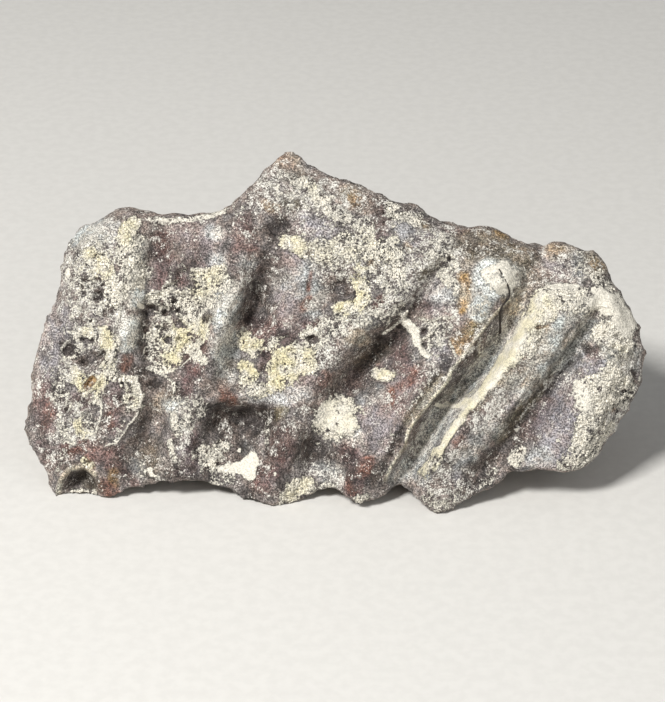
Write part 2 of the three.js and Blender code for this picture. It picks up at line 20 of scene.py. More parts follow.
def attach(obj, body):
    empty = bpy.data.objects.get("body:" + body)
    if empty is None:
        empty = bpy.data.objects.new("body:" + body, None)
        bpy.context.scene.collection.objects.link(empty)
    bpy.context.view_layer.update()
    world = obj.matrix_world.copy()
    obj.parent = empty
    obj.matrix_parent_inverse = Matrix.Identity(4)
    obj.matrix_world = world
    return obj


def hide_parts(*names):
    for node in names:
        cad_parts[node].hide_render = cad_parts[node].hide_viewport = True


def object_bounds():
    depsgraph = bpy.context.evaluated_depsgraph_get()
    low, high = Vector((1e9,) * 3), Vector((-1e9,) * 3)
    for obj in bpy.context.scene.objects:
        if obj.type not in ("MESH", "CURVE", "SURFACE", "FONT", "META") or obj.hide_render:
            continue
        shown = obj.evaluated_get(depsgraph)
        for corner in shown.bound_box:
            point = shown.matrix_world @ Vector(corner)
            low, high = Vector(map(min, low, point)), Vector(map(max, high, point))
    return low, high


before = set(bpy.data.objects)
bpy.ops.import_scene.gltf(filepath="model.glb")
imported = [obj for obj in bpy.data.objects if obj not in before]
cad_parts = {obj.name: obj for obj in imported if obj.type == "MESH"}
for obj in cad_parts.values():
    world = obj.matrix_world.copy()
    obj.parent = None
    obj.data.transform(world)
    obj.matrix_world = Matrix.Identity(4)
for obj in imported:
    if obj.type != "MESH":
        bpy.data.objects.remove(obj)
cad_low, cad_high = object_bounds()

MM = 0.001

# How the face lies in space, as in the solid
FACE_LEAN = math.radians(30)  # back from upright
FACE_TURN = 0.06  # rise of the face plane toward its right end, per mm across
TURN_AXIS = 10.0  # where across the face that rise is zero
LEFT_REACH = 31.52  # from the middle of the face to its left margin
TIP_DEPTH = 0.05  # from the lowest tip back to the face plane
BASE_WEAR = 0.3  # the base is worn flat by this much

# Refinement of the solid
VOXEL = 0.4  # mm
SMOOTH_ROUNDS = 8
FINE_SMOOTH_ROUNDS = 3
MARGIN_ROUNDS = 4
BROAD_ROUNDS = 90  # so many that only the broad form of the face is left
RELIEF_GAIN = 0.6  # share of their height by which ridges and grooves are exaggerated
STROKE_WANDER = 0.3  # share of the wandering that narrow carved strokes follow
PIT_WANDER = 0.7  # the same for small pits
SMOOTHING_LOSS = 0.15  # mm by which smoothing shrinks the broken edges

# How squarely a point must look forward to be on the face, back to be on the inner side
FACING = (-0.05, 0.3)
BACKING = (0.7, 0.9)
SPLIT_FACING = 0.25  # faces that look forward more squarely than this are split

# Unevenness: height either way and size of the largest swells in mm, octaves, shift of the noise
BONE_SWELLS = (0.22, 2.8, 4, 0.0)
BONE_GRAIN = (0.10, 1.1, 3, 13.0)
CRUST_LUMPS = (0.26, 0.75, 3, 5.0)
BREAK_CHIPS = (0.30, (2.6, 2.6, 2.0), 4, 17.0)
BREAK_SPLINTERS = (0.16, 0.9, 3, 67.0)
MARGIN_CRUMBLE = (0.30, 3.2, 5, 77.0)
GROWTH_GRAIN = (0.07, (4.5, 4.5, 0.9), 3, 37.0)

# Scattered holes: depth and spacing in mm, shift of the pattern, and how far from its middle a
# hole starts and reaches its depth, as shares of the spacing
CRUST_HOLES = (0.30, 1.0, 3.0, 0.40, 0.18)
SPONGE_PORES = (0.30, 0.95, 29.0, 0.40, 0.15)
VESSELS = (0.35, 3.4, 53.0, 0.20, 0.10)

CRUST_THICKNESS = 0.10  # mm, without its lumps
SMOOTH_CRUST_THICKNESS = 0.08

# Grains of the crust
GRAIN_GAP = 0.21  # mm between neighbours
GRAIN_RADIUS = (0.06, 0.17)
GRAIN_FLATNESS = 0.6  # height of a grain as a share of its width
GRAIN_LIFT = 0.1  # share of its radius that a grain's middle stands over the bone
GRAIN_COVER = 0.6  # least cover of crust that carries grains
GRAIN_SEED = 11

# Camera, looking straight at the face plane
VIEW_DISTANCE = 250.0
FRAME_HEIGHT = 70.2  # mm of the face plane that the picture's long side takes in
SENSOR = 36.0
CLIP = (0.01, 10.0)  # m
AIM = (-0.25, 16.7)

# Stage: metres, watts and shares of red, green and blue
FLOOR_REACH = 3.0
LIT_POINT = (0, 0, 0.015)
KEY_LIGHT = {"place": (-0.20, -0.22, 0.36), "size": 0.1, "power": 2.55, "colour": (1.0, 0.99, 0.975)}
FILL_LIGHT = {"place": (0.35, -0.35, 0.25), "size": 0.5, "power": 0.54, "colour": (0.98, 0.99, 1.0)}
SKY_COLOUR = (0.93, 0.94, 0.95, 1)
SKY_STRENGTH = 0.24


# ---------------------------------------------------------------------------------------------
# Relief of the face: [height, half width, station, station, ...] in mm
# ---------------------------------------------------------------------------------------------

EDGES = [
    # thin edge of ridge B over its groove
    [0.35, 0.32, (16.6, 21.2), (15.5, 20.0), (14.2, 18.3), (12.5, 16.0), (11.5, 14.8),
     (11.1, 13.6)],
    [0.35, 0.32, (11.1, 13.6), (9.8, 12.2), (8.6, 10.6), (7.8, 9.6), (7.2, 8.6), (7.0, 7.2)],
    [0.35, 0.32, (7.0, 7.2), (6.2, 6.2), (5.6, 5.2), (5.0, 3.8)],
    # rounded shoulder of ridge B behind that edge
    [0.2, 0.7, (9.8, 14.8), (8.4, 12.8), (7.2, 11.0), (6.4, 9.4), (5.2, 7.6)],
    # crest of ridge A
    [0.25, 0.75, (22.4, 23.0), (20.8, 22.4), (19.8, 21.2), (18.9, 19.4), (18.1, 17.8)],
    [0.25, 0.6, (18.1, 17.8), (16.8, 15.9), (15.6, 14.0), (14.2, 12.2), (12.8, 10.6)],
    [0.25, 0.45, (12.8, 10.6), (11.8, 9.0), (10.8, 7.4), (9.8, 5.9), (8.7, 4.4)],
    [0.25, 0.28, (13.0, 11.1), (12.2, 11.3), (11.4, 11.5), (10.8, 11.1), (10.2, 11.5)],
    # body of ridge A, level with its crest
    [0.45, 1.5, (22.6, 20.6), (20.6, 18.2), (17.6, 13.8), (14.0, 9.6), (11.6, 6.2)],
    # knob that ends ridge B
    [0.8, 1.6, (16.6, 23.9), (15.6, 23.0), (14.8, 21.4)],
    [0.25, 1.2, (14.6, 21.2), (13.4, 19.2), (12.2, 17.6)],
    # broken edge of ridge C and the cream ribbon across it
    [0.35, 0.3, (4.8, 18.4), (5.6, 18.9), (6.6, 19.8), (7.4, 21.2)],
    [0.14, 0.5, (6.9, 19.7), (7.6, 18.6), (8.0, 17.6), (8.9, 16.3)],
    [0.18, 0.25, (8.1, 18.5), (8.7, 17.9), (9.4, 18.2), (9.9, 18.9)],
    [0.18, 0.25, (8.4, 20.0), (9.4, 19.6), (10.4, 20.0), (11.8, 20.0)],
    # crest of ridge E, curling round a tongue at its foot
    [0.18, 0.28, (-19.3, 30.1), (-20.8, 26.3), (-21.4, 23.3), (-21.4, 20.8), (-22.1, 18.8),
     (-22.2, 16.6)],
    [0.2, 0.28, (-22.2, 16.6), (-23.0, 13.8), (-23.4, 11.8), (-23.5, 10.1), (-24.0, 8.6),
     (-25.3, 7.7)],
    [0.18, 0.3, (-25.3, 7.7), (-26.6, 7.0), (-27.5, 6.0), (-28.0, 4.6)],
    # flank of ridge E
    [0.55, 1.3, (-19.7, 26.4), (-20.0, 22.6), (-20.6, 18.2)],
    # leaf-shaped flake beside it
    [0.22, 0.3, (-21.2, 14.4), (-19.8, 14.1), (-19.3, 11.8), (-19.8, 10.3), (-20.8, 9.1)],
    [0.22, 0.3, (-20.8, 9.1), (-21.8, 7.6), (-23.3, 7.1)],
    # rim of the wide pit
    [0.25, 0.3, (-19.4, 22.2), (-18.0, 22.6), (-16.4, 23.7), (-16.0, 25.0), (-15.2, 25.0)],
    [0.2, 0.35, (-14.6, 24.7), (-12.6, 25.0), (-10.9, 25.3), (-10.5, 24.2), (-10.2, 23.2),
     (-11.4, 22.2)],
    [0.28, 0.35, (-12.5, 19.8), (-13.2, 17.8), (-14.2, 16.3), (-15.4, 15.2), (-17.0, 14.3)],
    [0.25, 0.3, (-17.0, 14.2), (-16.2, 13.6), (-16.2, 12.6)],
    # ring round the half-moon pit and bar across it
    [0.25, 0.35, (-26.6, 18.2), (-25.8, 18.7), (-24.8, 18.6), (-24.0, 18.2), (-23.6, 17.2)],
    [0.25, 0.4, (-23.0, 17.6), (-22.8, 16.2), (-23.4, 15.0), (-24.4, 14.6), (-25.6, 14.9)],
    [0.3, 0.28, (-25.5, 12.9), (-25.0, 13.8), (-24.2, 14.4), (-23.7, 14.1), (-23.9, 13.2),
     (-24.8, 12.5), (-25.5, 12.9)],
    # rims of the arched cavity
    [0.4, 0.35, (-28.0, 2.2), (-27.6, 3.8), (-26.7, 4.8), (-25.4, 5.1), (-24.2, 4.3),
     (-23.6, 2.6)],
    [0.25, 0.35, (-28.0, 4.8), (-26.6, 5.6), (-25.2, 6.0), (-24.2, 5.8)],
    # edges in the lower pits
    [0.2, 0.3, (-6.9, 9.4), (-6.9, 7.4)],
    [0.2, 0.35, (-7.9, 6.4), (-7.8, 5.0), (-8.2, 3.6)],
    [0.2, 0.35, (-16.6, 10.9), (-16.4, 8.6), (-16.6, 6.6), (-16.0, 4.4)],
    # chip edges on the plateau
    [0.2, 0.3, (24.5, 16.1), (25.1, 15.5), (26.0, 15.8)],
]

HOLLOWS = [
    # trough between the edge and the shoulder of ridge B
    [-0.28, 0.5, (10.5, 14.3), (9.2, 12.6), (8.1, 11.0), (7.2, 9.6), (6.4, 8.2), (5.9, 6.8),
     (4.9, 5.2)],
    # margin of the knob
    [-0.7, 0.8, (13.6, 26.0), (15.4, 26.4), (17.4, 26.3), (18.9, 25.0), (19.0, 23.2),
     (18.4, 21.9)],
    [-0.25, 0.5, (12.8, 24.2), (12.7, 22.4), (12.5, 20.8)],
    # foot of the wall under ridge C
    [-0.45, 0.9, (7.2, 18.6), (5.8, 17.4), (4.2, 16.2), (2.6, 14.6)],
    # pockets in the web right of ridge C
    [-0.35, 0.45, (8.4, 18.6), (9.0, 18.7)],
    [-0.3, 0.35, (8.7, 17.3), (9.1, 16.9)],
    [-0.2, 0.8, (8.0, 21.4), (9.2, 21.6)],
    [-0.15, 0.9, (8.2, 23.8), (10.6, 25.0)],
    # parallel lines on the right wall of the groove beside ridge A
    [-0.25, 0.25, (26.2, 20.8), (24.9, 19.6), (23.9, 18.0), (22.0, 15.2), (20.0, 12.4),
     (17.8, 9.6)],
    [-0.25, 0.25, (24.9, 17.8), (24.0, 16.2), (22.6, 14.4), (21.2, 12.6)],
    [-0.25, 0.25, (23.4, 18.8), (21.6, 16.0), (19.6, 13.2), (17.4, 10.6)],
    # long groove beside ridge D
    [-0.45, 1.1, (-7.2, 24.0), (-8.1, 22.0), (-9.0, 20.4)],
    # pit under the cross bar
    [-0.55, 1.3, (-11.8, 10.2), (-9.6, 10.0), (-7.6, 9.8)],
    [-0.3, 0.9, (-10.2, 6.8), (-8.9, 7.0)],
    # dark end of the groove high on the shoulder
    [-0.4, 0.9, (-6.2, 28.8), (-5.1, 29.3)],
    # hollows of the wide pit
    [-0.4, 0.7, (-15.9, 23.4), (-15.3, 24.5)],
    [-0.35, 1.1, (-18.8, 20.6), (-16.8, 20.9)],
    [-0.3, 0.8, (-19.0, 17.4), (-18.8, 15.6)],
    [-0.3, 0.9, (-18.6, 13.4), (-17.4, 12.8)],
    # hollows of the left field
    [-0.45, 0.9, (-25.0, 15.6), (-23.6, 16.3)],
    [-0.3, 0.8, (-25.6, 9.2), (-24.9, 10.2)],
    # hollow of the arched cavity
    [-0.6, 1.1, (-27.0, 2.4), (-26.4, 3.6), (-25.4, 3.9), (-24.6, 3.0), (-24.3, 2.2)],
    # saddle and lower pits
    [-0.35, 1.6, (-0.2, 10.4), (1.2, 9.8)],
    [-0.3, 1.2, (-5.6, 14.8), (-3.8, 15.2)],
    [-0.3, 1.0, (-8.8, 15.0), (-8.6, 17.2)],
    [-0.25, 0.8, (-2.4, 7.2), (-1.0, 6.8)],
    [-0.25, 0.5, (-4.2, 8.4), (-5.0, 5.6), (-5.6, 3.4)],
    # hollows of the shoulder, the plateau and the right and left fields
    [-0.3, 1.0, (0.4, 23.0), (1.2, 22.8)],
    [-0.2, 0.8, (4.2, 30.2), (4.8, 28.8)],
    [-0.25, 0.9, (24.6, 9.4), (24.0, 7.0)],
    [-0.3, 0.7, (25.0, 17.2), (25.2, 16.8)],
    [-0.25, 0.6, (21.0, 25.6), (20.6, 26.6)],
    [-0.3, 0.45, (-24.9, 13.1), (-24.2, 13.9)],
]

# Small pits: across, up, half width, half height, depth
PITS = [
    (-25.0, 23.9, 0.8, 0.22, 0.45), (-23.8, 23.9, 0.4, 0.22, 0.35), (-25.6, 23.1, 0.3, 0.22, 0.4),
    (-24.7, 23.2, 0.25, 0.22, 0.35), (-25.3, 22.6, 0.35, 0.2, 0.35), (-23.3, 23.4, 0.28, 0.35, 0.4),
    (-23.7, 22.2, 0.6, 0.55, 0.6), (-23.1, 20.5, 0.22, 0.5, 0.45), (-22.3, 20.6, 0.22, 0.5, 0.4),
    (-27.6, 19.4, 0.3, 0.3, 0.35), (-24.4, 19.8, 0.3, 0.18, 0.3), (-24.9, 17.8, 0.75, 0.32, 0.65),
    (-26.8, 16.7, 0.5, 0.6, 0.55), (-27.6, 17.3, 0.35, 0.28, 0.35), (-23.3, 16.5, 0.4, 0.28, 0.4),
    (-25.0, 15.4, 0.75, 0.35, 0.35), (-27.9, 13.9, 0.3, 0.25, 0.3), (-27.2, 12.3, 0.35, 0.25, 0.3),
    (-25.2, 11.8, 0.5, 0.4, 0.3), (-26.9, 11.0, 0.3, 0.25, 0.25), (-21.2, 13.3, 0.28, 0.18, 0.3),
    (-20.6, 12.6, 0.35, 0.2, 0.3), (-21.3, 11.9, 0.3, 0.18, 0.3), (-20.3, 11.8, 0.3, 0.18, 0.3),
    (-20.9, 11.1, 0.3, 0.2, 0.3), (-20.2, 10.6, 0.28, 0.2, 0.25), (-20.5, 13.4, 0.2, 0.2, 0.25),
    (-16.4, 21.7, 0.38, 0.28, 0.45), (-17.2, 20.6, 0.35, 0.3, 0.45), (-15.8, 20.6, 0.4, 0.25, 0.4),
    (-18.6, 21.1, 0.5, 0.35, 0.4), (-19.3, 20.3, 0.4, 0.3, 0.4), (-18.0, 19.6, 0.35, 0.3, 0.35),
    (-13.0, 19.8, 0.55, 0.4, 0.4), (-15.6, 19.2, 0.55, 0.45, 0.35), (-17.0, 17.7, 0.4, 0.4, 0.35),
    (-14.7, 18.4, 0.35, 0.22, 0.3), (-19.0, 18.9, 0.3, 0.3, 0.35), (-18.9, 16.2, 0.35, 0.22, 0.3),
    (-18.0, 15.8, 0.3, 0.25, 0.3), (-14.9, 16.2, 0.3, 0.18, 0.25), (-18.2, 13.3, 0.55, 0.45, 0.35),
    (-12.6, 28.3, 0.18, 0.25, 0.4), (-2.3, 17.9, 0.72, 0.5, 0.75), (4.2, 30.2, 0.16, 0.18, 0.35),
    (4.7, 30.4, 0.18, 0.16, 0.3), (4.9, 29.5, 0.18, 0.2, 0.35), (4.6, 28.9, 0.22, 0.16, 0.3),
    (5.7, 28.6, 0.18, 0.18, 0.35), (5.7, 29.8, 0.16, 0.14, 0.25), (8.1, 27.8, 0.16, 0.18, 0.3),
    (4.9, 27.6, 0.25, 0.15, 0.25), (5.5, 8.7, 0.16, 0.14, 0.3), (10.7, 15.4, 0.3, 0.25, 0.3),
    (11.4, 25.8, 0.25, 0.3, 0.3), (14.9, 23.2, 0.35, 0.25, 0.2), (15.4, 21.7, 0.35, 0.3, 0.2),
    (20.2, 19.1, 0.45, 0.32, 0.25), (25.0, 16.9, 0.38, 0.6, 0.45), (26.2, 24.1, 0.28, 0.18, 0.3),
    (24.9, 23.5, 0.4, 0.22, 0.3), (26.4, 21.0, 0.3, 0.18, 0.3), (26.8, 19.9, 0.3, 0.22, 0.3),
    (12.2, 13.0, 0.35, 0.35, 0.3), (18.4, 6.7, 0.16, 0.25, 0.25), (-11.8, 5.3, 0.3, 0.28, 0.35),
    (-9.9, 5.8, 0.45, 0.25, 0.3), (-20.2, 6.8, 0.4, 0.25, 0.2), (-5.2, 25.0, 0.25, 0.3, 0.3),
    (-2.6, 26.3, 0.35, 0.2, 0.3), (23.6, 15.2, 0.25, 0.35, 0.3), (28.7, 12.6, 0.35, 0.25, 0.35),
    (26.4, 12.8, 0.3, 0.4, 0.25), (29.9, 14.6, 0.2, 0.35, 0.3), (-6.9, 16.2, 0.4, 0.6, 0.3),
    (-7.2, 15.0, 0.35, 0.55, 0.3), (-4.9, 14.7, 0.12, 0.2, 0.2), (-4.7, 13.3, 0.14, 0.4, 0.25),
    (8.8, 18.6, 0.38, 0.36, 0.35), (9.0, 17.2, 0.32, 0.28, 0.35),
]

CRACKS = [
    [-0.22, 0.18, (-18.0, 26.2), (-16.8, 26.5), (-16.0, 26.9), (-15.0, 27.0), (-13.8, 27.3)],
    [-0.22, 0.18, (-16.5, 28.8), (-15.2, 29.2), (-13.4, 29.4)],
    [-0.18, 0.16, (16.1, 24.8), (16.6, 23.9), (17.0, 23.1)],
    [-0.2, 0.18, (19.0, 26.2), (19.9, 24.8), (20.6, 23.6)],
    [-0.2, 0.18, (14.2, 17.6), (14.3, 16.9), (14.4, 16.2)],
    [-0.2, 0.18, (27.0, 10.2), (26.6, 8.8), (26.2, 7.6)],
    # layers of bone showing along the broken right margin
    [-0.25, 0.2, (30.4, 16.6), (30.0, 14.2), (29.2, 12.2), (28.2, 10.6), (27.2, 8.8), (26.0, 7.0),
     (24.8, 5.8)],
    [-0.2, 0.2, (30.0, 17.4), (29.2, 14.6), (28.4, 12.4), (27.4, 10.8), (26.6, 9.2), (25.4, 7.6)],
]

# ---------------------------------------------------------------------------------------------
# Colour of the face: [strength, half width, station, station, ...]
#
# The strongest stroke of a table counts at each place, so their order within a table is free. The
# long tables go from left to right by strips that run roughly from ridge crest to ridge crest.
# ---------------------------------------------------------------------------------------------

MAUVE = [
    [0.7, 1.8, (-4.6, 25.4), (-4.4, 21.6), (-4.2, 19.2)],
    [0.6, 1.6, (3.6, 10.4), (5.2, 9.6), (7.6, 14.2)],
    [0.5, 1.5, (10.2, 22.6), (11.2, 20.8)],
    [0.5, 1.4, (-14.6, 29.2), (-13.2, 26.2)],
    [0.6, 1.3, (-3.4, 12.6), (-2.4, 13.2)],
    [0.5, 1.6, (21.6, 25.6), (23.6, 25.2)],
    [0.5, 1.4, (17.0, 12.2), (14.6, 10.6)],
    [0.7, 0.9, (-8.4, 12.0), (-5.0, 11.8), (-2.8, 12.6)],
    [0.6, 1.2, (-15.6, 28.6), (-12.6, 28.0)],
    [0.5, 0.9, (3.0, 9.4), (4.8, 7.4)],
    [0.5, 1.2, (16.2, 18.4), (14.2, 15.6), (12.6, 13.4)],
    [0.7, 0.8, (15.6, 18.4), (14.2, 16.2), (12.8, 14.0)],
]

LAVENDER = [
    [0.9, 1.9, (23.4, 12.4), (21.8, 9.4), (22.6, 7.0)],
    [0.8, 1.2, (25.4, 15.4), (27.2, 15.4)],
    [0.8, 0.9, (22.6, 6.2), (19.4, 5.4)],
    [0.6, 1.0, (8.8, 7.6), (9.4, 9.6)],
    [0.35, 1.2, (5.0, 8.2), (4.0, 11.2)],
    [0.6, 1.0, (12.8, 5.4), (11.6, 4.2)],
    [0.6, 0.9, (10.8, 16.9), (10.2, 15.8)],
    [0.6, 1.2, (-14.6, 7.4), (-15.0, 5.4)],
    [0.6, 1.2, (-3.2, 29.4), (-1.2, 28.7)],
    [0.5, 0.9, (6.8, 28.8), (8.2, 27.8)],
    [0.5, 1.2, (-28.0, 20.4), (-29.2, 14.0)],
]

TAN = [
    [0.45, 1.6, (13.4, 27.2), (15.6, 27.0), (18.0, 26.2), (19.4, 24.8)],
    [0.4, 1.0, (12.6, 25.2), (13.8, 25.8)],
    [0.8, 1.0, (18.6, 24.2), (18.4, 22.6), (17.8, 21.0)],
    [0.7, 1.3, (21.6, 18.0), (19.4, 16.4), (17.4, 14.0)],
    [0.6, 1.0, (21.8, 26.6), (23.2, 26.8)],
    [0.7, 1.0, (25.4, 25.8), (26.4, 24.8)],
    [0.5, 1.2, (-5.0, 35.6), (-4.2, 34.6)],
    [0.5, 1.2, (1.4, 32.2), (3.2, 31.4)],
    [0.5, 0.8, (28.4, 16.8), (28.8, 14.4)],
    [0.5, 1.0, (-2.0, 26.4), (0.4, 26.2)],
    [0.5, 0.9, (-17.6, 11.6), (-16.6, 12.2)],
    [0.2, 1.0, (-18.4, 7.4), (-18.2, 5.6)],
    [0.8, 0.6, (18.8, 18.0), (17.0, 15.2), (15.2, 12.8), (13.8, 11.0)],
]

# Chalky white stain on the knob of ridge B and elsewhere, and painted light: pale colour on the
# top of the knob and on flanks and groove floors that turn from the lamp
PALE_AND_PAINTED_LIGHT = [
    # left of E
    [0.55, 1.0, (-25.8, 28.3), (-24.2, 28.6)],
    # E to D
    [0.35, 0.5, (-12.0, 28.4), (-11.8, 28.2)],
    [0.85, 0.95, (-19.7, 27.2), (-19.9, 24.0)],
    [0.85, 0.75, (-19.8, 22.8), (-20.1, 21.4)],
    [0.85, 0.85, (-10.2, 22.8), (-10.3, 20.0)],
    [0.6, 0.9, (-10.8, 22.4), (-11.2, 20.2)],
    [1.0, 0.95, (-20.3, 19.3), (-20.7, 17.4)],
    [0.6, 0.6, (-16.6, 11.2), (-15.5, 11.3)],
    # D to C
    [0.4, 0.9, (1.8, 18.0), (3.0, 19.4)],
    [0.6, 0.7, (1.9, 18.2), (2.7, 17.8)],
    [0.45, 1.0, (-10.6, 18.4), (-11.0, 14.2)],
    [0.45, 0.8, (-8.6, 12.2), (-5.8, 12.0), (-3.0, 12.4)],
    # C to B
    [0.6, 0.7, (17.9, 24.6), (18.1, 23.4)],
    [0.95, 1.3, (15.2, 24.4), (15.8, 23.2)],
    [0.95, 0.95, (17.0, 24.7), (17.2, 23.6), (16.6, 22.8)],
    [0.45, 1.0, (12.2, 22.4), (10.4, 22.4)],
    [0.85, 0.8, (15.0, 21.8), (14.2, 20.4)],
    [0.45, 0.8, (0.6, 8.2), (2.2, 8.0)],
    [0.25, 0.8, (0.0, 4.8), (0.2, 3.6)],
    # B to A
    [0.4, 0.9, (18.2, 24.2), (17.9, 20.2)],
    [0.5, 0.9, (16.6, 17.2), (14.8, 14.8), (12.6, 12.4)],
    [0.35, 1.3, (17.8, 19.4), (16.2, 17.0), (14.2, 14.2), (12.4, 11.8), (10.4, 9.0)],
    [0.8, 0.4, (11.2, 12.0), (11.9, 12.8)],
    [0.75, 0.9, (12.6, 12.8), (10.8, 10.6), (9.2, 8.0)],
    [0.4, 0.8, (8.4, 6.4), (6.2, 3.8)],
    # right of A
    [0.4, 1.0, (24.2, 25.6), (24.0, 24.0)],
    [0.45, 0.8, (28.2, 21.6), (29.4, 19.6)],
    [0.35, 0.9, (22.6, 19.0), (24.2, 21.0)],
    [0.5, 0.9, (27.0, 19.6), (28.6, 18.4)],
    [0.6, 0.7, (22.2, 19.4), (21.7, 17.6)],
    [0.45, 1.2, (25.4, 19.4), (24.4, 17.8), (22.8, 15.2)],
    [0.5, 1.2, (27.4, 16.4), (29.6, 16.2)],
    [0.4, 1.0, (20.6, 17.6), (18.4, 14.6), (16.2, 11.6)],
    [0.5, 0.8, (20.6, 14.6), (18.4, 12.2)],
    [0.45, 1.2, (15.8, 9.2), (12.6, 5.6)],
    [0.4, 0.9, (19.4, 6.0), (21.0, 6.2)],
]

# Bone worn smooth, with little mottling
CALM = [
    [0.9, 1.3, (15.2, 23.8), (14.6, 22.2), (13.8, 20.6)],
    [0.9, 0.8, (-19.8, 22.6), (-20.1, 21.6)],
    [0.9, 0.8, (-20.8, 18.8), (-21.0, 17.4)],
    [0.8, 1.1, (22.2, 19.4), (21.8, 18.4), (21.4, 16.8)],
    [0.7, 2.2, (23.4, 12.4), (21.8, 9.4), (22.0, 6.6)],
    [0.7, 1.2, (25.4, 15.4), (27.2, 15.4)],
    [0.6, 1.6, (-16.6, 28.0), (-13.0, 28.2)],
    [0.6, 1.4, (-4.6, 24.8), (-4.6, 20.4)],
    [0.6, 1.6, (5.2, 10.6), (6.8, 13.6)],
    [0.7, 1.0, (-11.2, 22.0), (-11.2, 17.0)],
    [0.7, 1.2, (-20.6, 8.0), (-20.0, 5.4)],
    [0.6, 1.2, (-6.0, 11.4), (-3.4, 12.4)],
    [0.6, 1.0, (-25.4, 28.6), (-23.0, 29.0)],
]

MAROON = [
    # left of E
    [0.6, 0.9, (-25.2, 11.8), (-26.4, 11.4)],
    [0.75, 1.2, (-29.6, 13.0), (-29.4, 9.6), (-28.6, 11.0)],
    [0.6, 0.9, (-29.6, 7.2), (-28.6, 5.6)],
    # E to D
    [0.6, 0.9, (-9.2, 29.4), (-8.6, 27.4)],
    [0.3, 1.0, (-14.2, 26.6), (-12.6, 26.2)],
    [0.5, 0.9, (-9.6, 27.8), (-9.4, 25.4), (-8.2, 24.8)],
    [0.85, 0.9, (-17.4, 28.2), (-17.2, 26.0), (-17.4, 23.6)],
    [0.4, 0.9, (-15.8, 25.0), (-14.0, 25.6)],
    [0.8, 0.5, (-15.6, 24.2), (-15.2, 23.6)],
    [0.6, 0.5, (-20.4, 20.4), (-20.4, 19.8)],
    [0.85, 1.0, (-13.6, 17.4), (-14.4, 14.6), (-15.0, 12.8)],
    [0.7, 0.9, (-22.0, 12.8), (-22.4, 10.2), (-22.4, 9.2)],
    [0.7, 0.6, (-21.8, 7.0), (-21.6, 6.2)],
    [0.7, 0.8, (-14.4, 8.0), (-14.2, 6.2), (-15.2, 4.8)],
    [0.8, 0.9, (-26.8, 6.8), (-25.0, 7.0), (-22.8, 5.8), (-22.0, 4.4)],
    [0.7, 0.8, (-21.0, 4.6), (-20.4, 3.8)],
    # D to C
    [0.5, 0.9, (2.4, 31.4), (3.6, 31.6)],
    [0.6, 1.2, (4.4, 30.4), (4.4, 29.0)],
    [0.6, 0.5, (4.6, 21.9), (4.0, 20.8)],
    [0.7, 0.5, (-3.0, 19.6), (-2.0, 19.4)],
    [0.8, 1.1, (-9.8, 19.4), (-8.0, 19.0), (-6.2, 19.0)],
    [0.7, 0.7, (-5.0, 18.0), (-4.6, 17.4)],
    [0.7, 0.7, (-6.8, 17.6), (-6.8, 15.2)],
    # C to B
    [0.5, 0.8, (12.8, 28.8), (13.6, 27.4)],
    [0.7, 0.7, (8.4, 21.6), (9.0, 21.2)],
    [0.7, 1.1, (6.2, 17.4), (6.8, 15.4), (8.0, 14.8)],
    [0.6, 1.2, (3.6, 15.4), (2.0, 13.2)],
    [0.5, 1.2, (4.2, 12.8), (6.0, 11.6)],
    [0.85, 0.7, (-4.8, 6.8), (-4.9, 5.2)],
    [0.85, 1.1, (-5.2, 8.0), (-5.8, 5.8), (-7.2, 3.2)],
    [0.8, 1.2, (1.4, 6.4), (2.6, 5.2), (1.6, 3.0)],
    # B to A
    [0.6, 0.9, (14.6, 17.4), (13.4, 15.8)],
    [0.6, 0.8, (9.0, 9.2), (8.6, 8.2)],
    # right of A
    [0.7, 0.6, (25.0, 17.2), (25.4, 16.6)],
    [0.35, 1.2, (19.4, 15.8), (17.2, 12.4)],
    [0.6, 0.8, (21.2, 11.6), (19.2, 8.6)],
    [0.6, 0.4, (26.8, 10.0), (26.2, 8.0)],
    [0.4, 0.9, (14.4, 7.0), (12.6, 8.8), (13.8, 10.8)],
]

RUST = [
    # left of E
    [0.3, 0.7, (-29.0, 10.6), (-29.2, 9.8)],
    [0.45, 0.8, (-26.6, 6.8), (-25.2, 6.9), (-24.0, 6.4)],
    # E to D
    [0.35, 0.8, (-9.2, 26.8), (-8.4, 26.6)],
    [0.7, 0.55, (-20.9, 15.9), (-21.0, 15.0)],
    [0.8, 0.45, (-22.7, 10.0), (-22.6, 9.3)],
    [0.8, 0.8, (-23.2, 3.0), (-22.4, 2.6)],
    # D to C
    [0.3, 0.6, (-5.4, 36.2), (-4.9, 35.4)],
    [0.8, 0.22, (-2.4, 24.6), (-2.7, 22.8)],
    [0.8, 0.35, (-2.6, 22.0), (-3.2, 21.0)],
    [0.6, 0.45, (4.6, 22.0), (4.2, 21.0)],
    [0.6, 0.6, (-0.9, 14.2), (-1.4, 13.6)],
    [0.9, 0.5, (-11.5, 13.6), (-10.9, 12.4)],
    [0.8, 0.7, (-10.9, 12.2), (-10.3, 11.8)],
    # C to B
    [0.7, 0.45, (6.4, 13.2), (7.8, 13.8), (8.0, 14.8)],
    [0.8, 0.35, (5.6, 12.8), (5.6, 11.4)],
    [0.6, 0.6, (3.2, 5.8), (2.8, 4.6)],
    [0.7, 0.6, (1.2, 3.4), (1.6, 2.8)],
    # right of A
    [0.5, 0.6, (19.0, 16.2), (17.8, 15.0)],
    [0.9, 0.4, (14.9, 8.0), (15.6, 7.5)],
    [0.8, 0.45, (12.0, 7.7), (13.0, 7.7)],
    [0.6, 0.35, (14.0, 6.8), (14.6, 6.4)],
]

